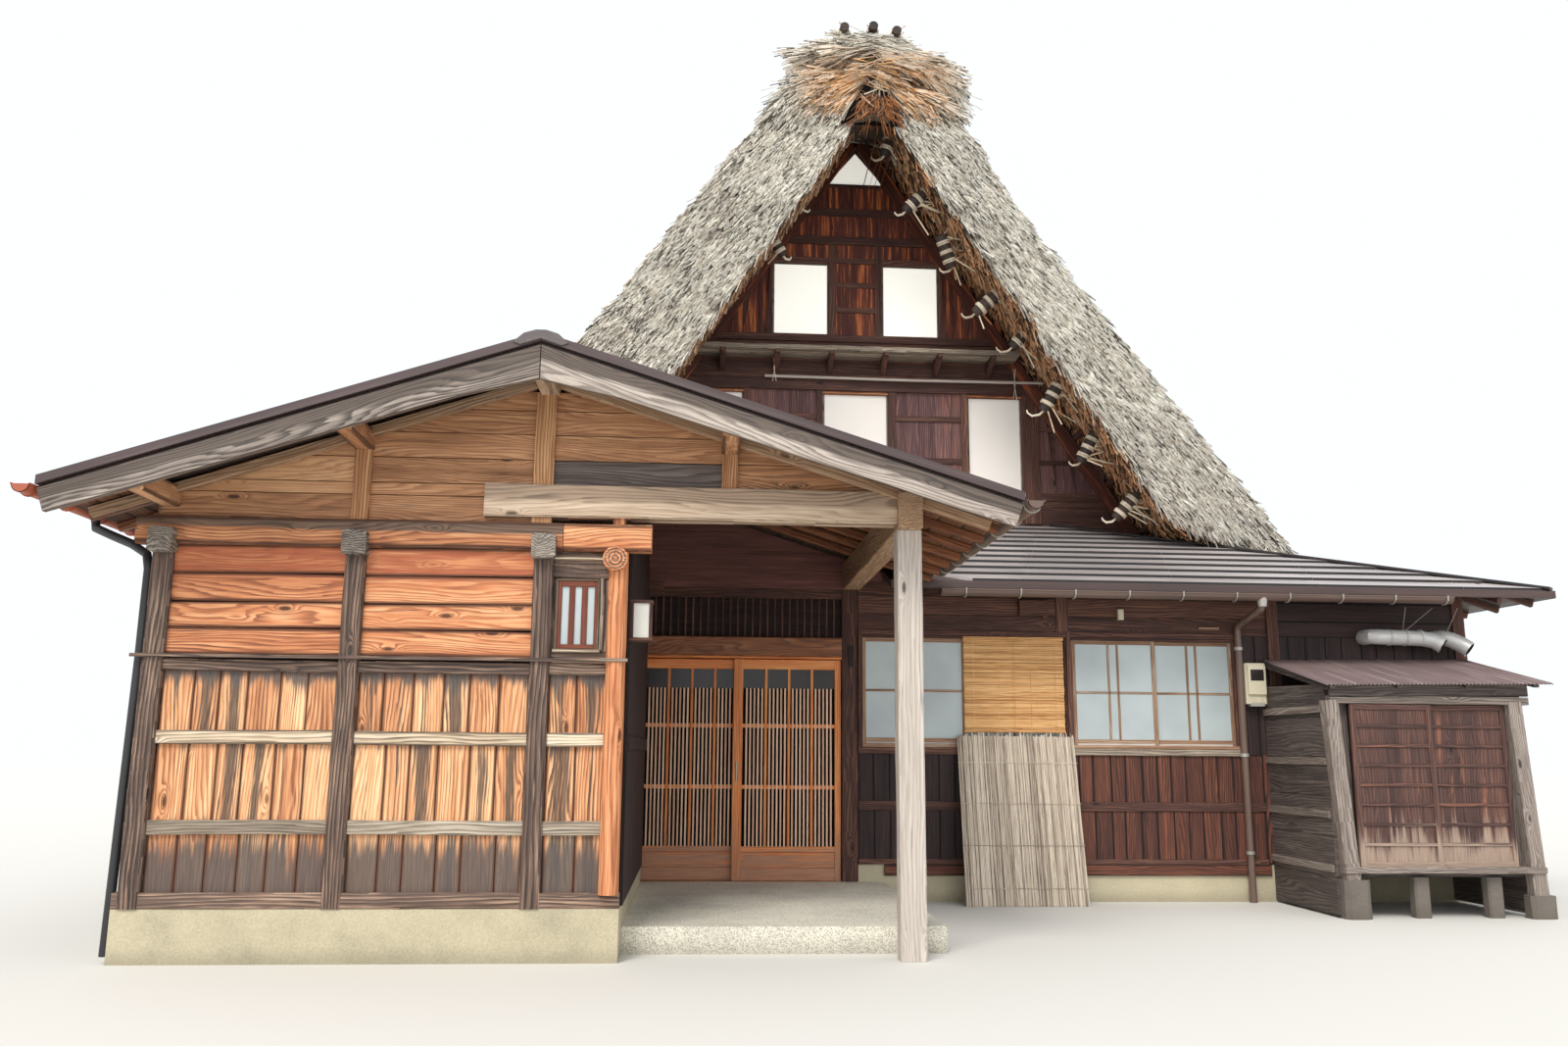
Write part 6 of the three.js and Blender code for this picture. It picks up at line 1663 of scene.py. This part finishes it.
def stems(name, spot, normal, draw, length, width, sway, lift, warm, ahead, material=None):
    """Thin closed stems lying on the thatch with their cut ends down the slope, as one piece.

    Near the ridge they turn level, and ahead is the share of each that lies beyond its place.
    """
    keep = ~in_peak_gap(spot)
    spot, normal, warm = spot[keep], normal[keep], warm[keep]
    count = len(spot)
    side = np.sign(spot[:, 0] - CENTRE_X - draw.normal(0.0, 0.10, count))
    level = np.clip((spot[:, 2] - NEAR_RIDGE[0]) / 0.75, 0, 1)
    steep = np.radians(56 - 46 * level)
    flow = np.stack([side * np.cos(steep), np.zeros(count), -np.sin(steep)], axis=1)
    flow -= normal * np.sum(flow * normal, axis=1, keepdims=True)
    flow /= np.maximum(np.linalg.norm(flow, axis=1, keepdims=True), 1e-6)
    beside = np.cross(flow, normal)
    turn = draw.normal(0.0, sway, count)[:, None]
    flow = flow * np.cos(turn) + beside * np.sin(turn)
    beside = np.cross(flow, normal)
    near_ridge = (spot[:, 2] > NEAR_RIDGE[0]) & (spot[:, 2] < NEAR_RIDGE[1]) & (normal[:, 1] < -0.5)
    long = (draw.uniform(*length, count) * np.where(near_ridge, 1.9, 1.0))[:, None]
    wide = draw.uniform(*width, count)[:, None]
    root = spot - flow * long * (1 - ahead) - normal * 0.004
    rise = draw.uniform(*lift, count) + np.where(near_ridge, 0.015, 0.0)
    tip = spot + flow * long * ahead + normal * rise[:, None]
    points = np.stack([
        tip + beside * wide / 2, tip - beside * wide / 2, tip + normal * (wide * 0.5 + 0.004), root], axis=1)
    pattern = np.array([[0, 2, 1], [0, 1, 3], [1, 2, 3], [2, 0, 3]])
    faces = (pattern[None] + (np.arange(count) * 4)[:, None, None]).reshape(-1, 3)
    mesh = bpy.data.meshes.new(name)
    mesh.vertices.add(count * 4)
    mesh.vertices.foreach_set("co", (points + np.array(SHIFT)).astype(np.float32).ravel())
    mesh.loops.add(count * 12)
    mesh.loops.foreach_set("vertex_index", faces.ravel().astype(np.int32))
    mesh.polygons.add(count * 4)
    mesh.polygons.foreach_set("loop_start", np.arange(count * 4, dtype=np.int32) * 3)
    mesh.update(calc_edges=True)
    # Tips count 1 and roots 0 along each stem, and the cut end takes the shaded value: painted shade.
    share = np.array([1.0, 1.0, 1.0, 0.0])[pattern.ravel()]
    share[:3] = SHADED_CUT_END
    set_corners(mesh, "grain", np.stack([
        np.tile(share, count), np.repeat(warm, 12), np.repeat(draw.random(count), 12)], axis=1))
    mesh.materials.append(material or THATCH_STRAW)
    return attach(bpy.data.objects.new(name, mesh))


def warmth(spot, draw):
    """How orange each stem is: fresh straw shows around the peak of the front verge and under the soffit."""
    reach = np.abs(spot[:, 0] - CENTRE_X - 0.05)
    near = np.clip((0.72 - reach) / 0.40, 0, 1) * np.clip((spot[:, 2] - 7.72) / 0.30, 0, 1)
    near *= np.clip((NEAR_RIDGE[1] - spot[:, 2]) / 0.20, 0, 1) * (spot[:, 1] < 4.9)
    return np.clip(near * draw.uniform(0.25, 1.1, len(spot)), 0, 1)


def add_thatch():
    """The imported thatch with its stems, the opening at the peak, the ridge poles and the lashings."""
    base = thatch_core()
    draw = np.random.default_rng(5)
    regions = scatter(base, draw)
    for region, sizes, widths in (
            ("front_verge", (0.15, 0.32), (0.008, 0.018)), ("back_verge", (0.16, 0.32), (0.012, 0.024)),
            ("slope", (0.20, 0.38), (0.018, 0.032))):
        spot, normal = regions[region]
        for name, chosen in (("left", spot[:, 0] < CENTRE_X), ("right", spot[:, 0] >= CENTRE_X)):
            s, n = spot[chosen], normal[chosen]
            stems("thatch_" + region + "_straw_" + name, s, n, draw, sizes, widths, 0.17, (0.004, 0.036),
                  warmth(s, draw), 0.72)
    spot, normal = regions["soffit"]
    # The left soffit's stems get a quarter of the tint and show darker: painted shade on that side.
    stems("thatch_soffit_straw", spot, normal, draw, (0.12, 0.32), (0.008, 0.018), 0.60, (0.0, 0.06),
          draw.uniform(0.0, 1.0, len(spot)) * np.where(spot[:, 0] > CENTRE_X, 1.0, 0.25), 0.5, SOFFIT_STRAW)
    add_peak(base, draw)
    add_lashings()


def add_peak(base, draw):
    """The opening under the ridge, dark with painted shade, and the ridge poles with their rope loops."""
    surface = BVHTree.FromPolygons(
        [v.co for v in base.data.vertices], [tuple(p.vertices) for p in base.data.polygons])
    peak = Piece("peak_opening", SHADE_SHEET, WARM_STRAW, SPLIT_STRAW)

    def on_front(reach, z, out):
        """A place before the front verge's surface, by out."""
        start = Vector((CENTRE_X + reach, 0.0, z)) + SHIFT
        hit = surface.ray_cast(start, Vector((0, 1, 0)))[0]
        return (hit - SHIFT if hit else Vector((CENTRE_X + reach, 4.3, z))) - Vector((0, out, 0))

    # A dark sheet fills the opening: painted shade inside it.
    outline = [on_front(reach, z, 0.012) for reach, z in PEAK_GAP]
    peak.loft([outline, [p + Vector((0, 0.030, 0)) for p in outline]], (0, 0, 1), 0)
    for _ in range(170):
        z = draw.uniform(7.60, 7.98)
        wide = (8.42 - z) * 0.36
        reach = 0.05 + draw.uniform(-1.0, 0.9) * wide
        start = on_front(reach, z, 0.016)
        end = on_front(reach + draw.normal(0.3 * reach, 0.05), z - draw.uniform(0.06, 0.16),
                       draw.uniform(0.02, 0.05))
        peak.tube([start, end], [draw.uniform(0.004, 0.008), 0.002], 4, 1, False)
    for _ in range(26):
        lean = draw.uniform(-0.9, 1.0)
        start = on_front(0.09 + 0.02 * lean, draw.uniform(8.20, 8.38), 0.03)
        end = start + Vector((0.16 * lean + 0.05, draw.uniform(-0.10, 0.0), -draw.uniform(0.22, 0.46)))
        peak.tube([start, end], [0.005, 0.0025], 4, 2, False)
    peak.make()
    poles = Piece("ridge_poles", POLE_WOOD, ROPE)
    for reach, z in ((-0.29, 8.765), (0.02, 8.790), (0.27, 8.748)):
        x = CENTRE_X + reach
        run = [(x, 4.284 + 1.0127 * i, z + 0.004 * math.sin(i * 2.1 + reach * 9)) for i in range(11)]
        poles.tube(run, 0.050, 10, 0)
        for k in range(9):
            for y in (4.37 + 1.20 * k, 4.396 + 1.20 * k):
                loop = [(x + 0.058 * math.cos(a), y + 0.03 * math.sin(a), z + 0.060 * math.sin(a) - 0.004)
                        for a in (math.pi * (i / 8) * 1.3 - 0.47 for i in range(9))]
                poles.tube(loop, 0.011, 6, 1)
    poles.make()


# Where roof poles are lashed under the front verge: (reach, height, tilt of the pole in degrees, size)
LASHINGS = (
    (0.27, 7.68, 71, 1.0), (0.57, 7.00, 42, 1.0), (0.86, 6.42, 112, 0.95), (1.30, 5.88, 40, 1.0),
    (1.66, 5.52, 46, 0.9), (1.95, 4.88, 60, 1.0), (2.30, 4.33, 64, 0.9), (2.68, 3.72, 50, 0.9),
    (-0.80, 6.98, 118, 0.7), (-1.02, 6.44, 126, 0.8))


def add_lashings():
    """Fat pole ends wound with pale rope, a hooked vine and fans of split straw at each."""
    lash = Piece("roof_lashings", POLE_WOOD, ROPE, SPLIT_STRAW, WARM_STRAW)
    for mirror in (False, True):
        lash.mirror = mirror
        for reach, z, tilt, size in LASHINGS:
            out = 1 if reach > 0 else -1
            middle = Vector((CENTRE_X + reach - 0.035 * out, 4.60, z - 0.02))
            tilt = math.radians(tilt)
            along = Vector((math.cos(tilt), -0.25, math.sin(tilt))).normalized()
            half = 0.19 * size
            radius = 0.068 * size
            lash.tube([middle - along * half, middle - along * half * 0.6, middle + along * half],
                      [radius * 0.8, radius, radius], 12, 0)
            for share in (-0.55, 0.0, 0.55):
                for turn in (-1, 0, 1):
                    at = middle + along * (half * share + 0.014 * turn)
                    rope = radius + 0.007 + rng.uniform(0, 0.004)
                    lash.tube([at - along * 0.006, at + along * 0.006], rope, 14, 1)
            foot = middle - along * half
            long = rng.uniform(0.5, 0.85) * size
            hook_path = [foot + Vector(p) * long for p in (
                (0.03 * out, -0.02, 0.03), (-0.05 * out, 0.02, -0.05), (-0.14 * out, 0.08, -0.055),
                (-0.19 * out, 0.12, 0.0), (-0.20 * out, 0.13, 0.045))]
            lash.tube(hook_path, [0.012, 0.013, 0.012, 0.010, 0.007], 7, 1)
            for i in range(int(13 * size)):
                fan = math.radians(rng.uniform(-85, 60))
                ray = Vector((math.cos(fan) * out, rng.uniform(-0.35, 0.05), math.sin(fan))).normalized()
                start = middle + along * rng.uniform(-half, half) + Vector((0.02 * out, -0.03, 0))
                end = start + ray * rng.uniform(0.16, 0.36)
                lash.bar(start, end, 0.014, 0.004, (0, 1, 0), 3 if i % 4 == 3 else 2, 0.001)
    lash.make()


# Shed

def add_shed():
    """The shed's posts, sills, boards and footings, its two doors and its roof."""
    shed = Piece("shed_timber", SHED_POST_WOOD, SHED_SIDE_WOOD, STONE)
    y = SHED_FRONT
    for top, foot in ((4.870, 4.965), (6.347, 6.420)):
        shed.bar((foot, y + 0.050, 0.001), (top, y + 0.050, 1.625), 0.112, 0.100, (0, -1, 0),
                 0, 0.006, 16, 0.004)
    shed.box((4.86, y + 0.004, 1.600), (6.46, y + 0.100, 1.660), "x", 0)
    shed.bar((4.88, y + 0.040, 0.356), (6.46, y + 0.040, 0.356), 0.110, 0.046, cuts=10, wobble=0.003, skin=0)
    cuts = [0.02, 0.30, 0.60, 0.90, 1.20, 1.50, 1.78]
    for x0, x1, rails in ((4.850, 4.890, 4.830), (6.400, 6.440, 6.440)):
        under_front, under_back = (shed_roof_top(x0, at) - 0.028 for at in (y + 0.08, AGAINST_WALL))
        for z0, z1 in zip(cuts, cuts[1:]):
            front, back = min(z1 - 0.003, under_front), min(z1 - 0.003, under_back)
            if front > z0:
                shed.prism([(y + 0.080, z0), (AGAINST_WALL, z0), (AGAINST_WALL, back), (y + 0.080, front)],
                           "x", x0, x1, (0, 1, 0), 1)
        for z in (0.36, 0.76, 1.16, 1.56):
            shed.box((rails, y + 0.100, z - 0.028), (rails + 0.020, 2.878, z + 0.028), "y", 0)
    shed.prism([(1.80, 1.70), (AGAINST_WALL, 1.95), (AGAINST_WALL, 2.0), (1.80, 1.73)],
               "x", 4.852, 4.888, (0, 1, 0), 1)
    shed.box((4.870, y + 0.090, 0.300), (6.430, AGAINST_WALL, 0.335), "x", 1, 0)
    shed.box((4.880, y + 0.086, 0.335), (5.036, y + 0.112, 1.625), "z", 1)
    shed.box((6.264, y + 0.086, 0.335), (6.430, y + 0.112, 1.625), "z", 1)
    for x in (5.45, 6.03):
        shed.box((x, y + 0.06, 0.0), (x + 0.12, y + 0.16, 0.30), "z", 2, 0.015)
    for x0, x1, z in ((4.872, 5.070, 0.285), (6.318, 6.520, 0.17)):
        shed.post((x0 + x1) / 2, y + 0.055, 0.0, z, x1 - x0, 0.140, 2, 0.03, 5, 0.012)
    shed.bar((4.86, y + 0.017, 1.697), (6.46, y + 0.017, 1.719), 0.026, 0.106, skin=1)
    shed.make(replaces=["shed_frame"])

    for name, x0, front in SHED_LEAVES:
        leaf = Piece(name + "_boarding", SHED_BOARDS)
        low, high = SHED_DOOR_Z
        x1 = x0 + SHED_DOOR_WIDTH
        stile, bars = 0.040, 9
        for a, b in row_of(x0, x1, 5, 0.001):
            leaf.box((a, front + 0.002, low), (b, front + 0.020, high), "z", 0, 0.001)
        for a in (x0, x1 - stile):
            leaf.box((a, front - 0.010, low), (a + stile, front + 0.002, high), "z", 0, 0.002)
        for i in range(bars):
            z = low + 0.018 + (high - low - 0.036) * i / (bars - 1)
            half = 0.020 if i in (0, bars - 1) else 0.012
            leaf.box((x0 + stile, front - 0.0095, z - half), (x1 - stile, front + 0.002, z + half),
                     "x", 0, 0.002)
        leaf.make(name + "_leaf", [name])

    roof = Piece("shed_roofing", SHED_METAL, SHED_SIDE_WOOD)
    waves = 58
    rings = []
    for yy, x0, x1 in ((1.698, 4.805, 6.620), (AGAINST_WALL, 4.868, 6.685)):
        top, bottom = [], []
        for i in range(waves * 2 + 1):
            x = x0 + (x1 - x0) * i / (waves * 2)
            z = shed_roof_top(x, yy) + (0.010 if i % 2 else -0.004)
            top.append((x, yy, z))
            bottom.append((x, yy, z - 0.003))
        rings.append(top + bottom[::-1])
    roof.loft(rings)
    for x in (4.86, 5.40, 5.95, 6.50):
        start, end = ((x, at, shed_roof_top(x, at) - 0.020) for at in (1.73, 2.878))
        roof.bar(start, end, 0.045, 0.028, skin=1)
    roof.make(replaces=["shed_roof"])


# Fittings

def add_main_gutter():
    """The front eave's gutter with its straps, and the downpipe by the meter."""
    gutter = Piece("main_gutter_run", DARK_GUTTER, PALE_METAL)
    half_round(gutter, (6.260, 2.330, 2.503), (1.948, 2.330, 2.503), 0.050)
    for i in range(10):
        x = 2.15 + 0.45 * i
        gutter.tube([(x, 2.385, 2.575), (x, 2.392, 2.49), (x, 2.36, 2.447), (x, 2.315, 2.448),
                     (x, 2.276, 2.475), (x, 2.272, 2.515)], 0.006, 6, 1)
    x, y = 4.632, 2.830
    gutter.tube([(x, 2.330, 2.462), (x, 2.330, 2.430), (x, 2.350, 2.395), (x, 2.60, 2.34), (x, 2.790, 2.305),
                 (x, 2.828, 2.26), (x, y, 2.15), (x, y, 0.002)], 0.030, 12, 0)
    gutter.tube([(x, 2.330, 2.480), (x, 2.330, 2.405)], [0.044, 0.034], 12, 1)
    for z in (2.10, 1.2, 0.4):
        gutter.tube([(x, y, z - 0.014), (x, y, z + 0.014)], 0.036, 12, 1)
    gutter.make(replaces=["main_gutter"])


def add_meter_box():
    """The meter's case with its lid, glass and foot."""
    meter = Piece("meter_case", BEIGE_PAINT, DARK_GLASS, PALE_METAL)
    x0, x1, z0, z1 = 4.6645, 4.8485, 1.610, 1.985
    meter.box((x0, 2.790, z0 + 0.02), (x1, AGAINST_WALL, z1 - 0.01), "z", 0, 0.016)
    meter.box((x0 + 0.012, 2.770, z0 + 0.10), (x1 - 0.012, 2.792, z1 - 0.03), "z", 0, 0.012)
    meter.box((x0 + 0.034, 2.7685, z1 - 0.16), (x1 - 0.034, 2.7705, z1 - 0.065), "z", 1, 0.001)
    meter.box((x0 + 0.03, 2.785, z0), (x1 - 0.03, 2.86, z0 + 0.03), "z", 2, 0.004)
    meter.make(replaces=["meter_box"])


def add_flue_pipes():
    """Two flues that turn to the right out of the wall, with their collars, mouths dark with painted shade,
    and hangers.
    """
    flue = Piece("flue_elbows", FLUE_METAL, PALE_METAL, SHADE_SHEET)
    y, z = 2.740, 2.215
    long_mouth, short_mouth = (6.375, 2.685, 2.140), (6.60, 2.665, 2.105)
    flue.tube([(5.775, AGAINST_WALL, z), (5.775, 2.80, z), (5.785, 2.755, 2.214), (5.82, 2.742, 2.212),
               (5.90, y, 2.210), (6.10, y, 2.205), (6.24, y, 2.200), (6.32, 2.720, 2.182), long_mouth],
              [0.066] * 7 + [0.068, 0.070], 20, 0)
    flue.tube([(6.350, AGAINST_WALL, z), (6.390, 2.80, 2.218), (6.43, 2.757, 2.212), (6.49, 2.735, 2.190),
               (6.55, 2.71, 2.155), short_mouth], [0.056, 0.060, 0.066, 0.068, 0.069, 0.070], 20, 0)
    # Dark discs just inside the mouths: painted shade in the pipes.
    for mouth, ahead in ((long_mouth, (0.66, -0.42, -0.62)), (short_mouth, (0.60, -0.52, -0.60))):
        mouth, ahead = Vector(mouth), Vector(ahead).normalized()
        flue.tube([mouth - ahead * 0.004, mouth + ahead * 0.003], 0.058, 20, 2)
    for x in (5.93, 6.07, 6.21):
        flue.tube([(x - 0.009, y, 2.207), (x + 0.009, y, 2.207)], 0.0715, 20, 0)
    for top, x, low in ((5.96, 6.06, 2.262), (6.20, 6.08, 2.262), (6.42, 6.44, 2.230)):
        flue.tube([(top, 2.50, 2.440), (x, y, low)], 0.003, 5, 1)
    flue.make(replaces=["flue_pipes"])


def add_wall_lamp():
    """The porch lamp: a pale box in a dark frame."""
    lamp = Piece("lamp_case", LAMP_GLASS, MAROON_FRAME)
    x0, x1, y0, y1, z0, z1 = -0.420, -0.290, 0.130, 0.260, 1.860, 2.110
    bar = 0.018
    lamp.box((x0 + 0.008, y0 + 0.008, z0 + 0.012), (x1 - 0.008, y1 - 0.008, z1 - bar), "z", 0, 0.002)
    for x in (x0, x1 - bar):
        for y in (y0, y1 - bar):
            lamp.box((x, y, z0 - 0.002), (x + bar, y + bar, z1), "z", 1, 0.001)
    for z in (z0, z1 - bar):
        lamp.box((x0 - 0.006, y0 - 0.004, z), (x1 + 0.006, y1, z + 0.020), "x", 1, 0.002)
    lamp.box((-0.4298, 0.180, 2.040), (-0.412, 0.210, 2.080), "x", 1, 0.001)
    lamp.make(replaces=["wall_lamp"])


# The CAD nodes that stay in view

def dress_frame():
    """Gives every CAD node that no piece replaces its material."""
    timber = ["wing_left_wall", "wing_right_wall", "front_wall_left", "front_wall_right", "left_wall",
              "right_wall", "back_wall", "gable_wall_front", "gable_wall_back", "core_frame",
              "roof_frame_left", "roof_frame_right"]
    roofs = ["wing_roof_left", "wing_roof_right", "lean_to_roof_front", "lean_to_roof_back",
             "lean_to_roof_left", "lean_to_roof_right"]
    for material, names in (
            (UNDERLAY, roofs), (CAD_TIMBER, timber), (CAD_BOARDING, ["loft_floor", "attic_floor"]),
            (FROSTED, ["left_panes", "right_panes", "back_panes"]),
            (WHITE_PAPER, ["gable_panes_front", "gable_panes_back"]),
            (AGGREGATE, ["porch_floor"]), (PLINTH, ["main_foundation", "wing_foundation"])):
        for name in names:
            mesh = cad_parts[name].data
            mesh.materials.clear()
            mesh.materials.append(material)


add_camera()
add_light()
add_ground()
add_wing_front()
add_wing_gable()
add_wing_roof()
add_gutters()
add_wing_sides()
add_porch()
add_entrance()
add_front_wall()
add_blind_and_screen()
add_lean_to()
add_other_walls()
for tag, back in (("front", False), ("back", True)):
    add_gable(tag, back)
    add_gable_shelf(tag, back)
add_thatch()
add_shed()
add_main_gutter()
add_meter_box()
add_flue_pipes()
add_wall_lamp()
dress_frame()
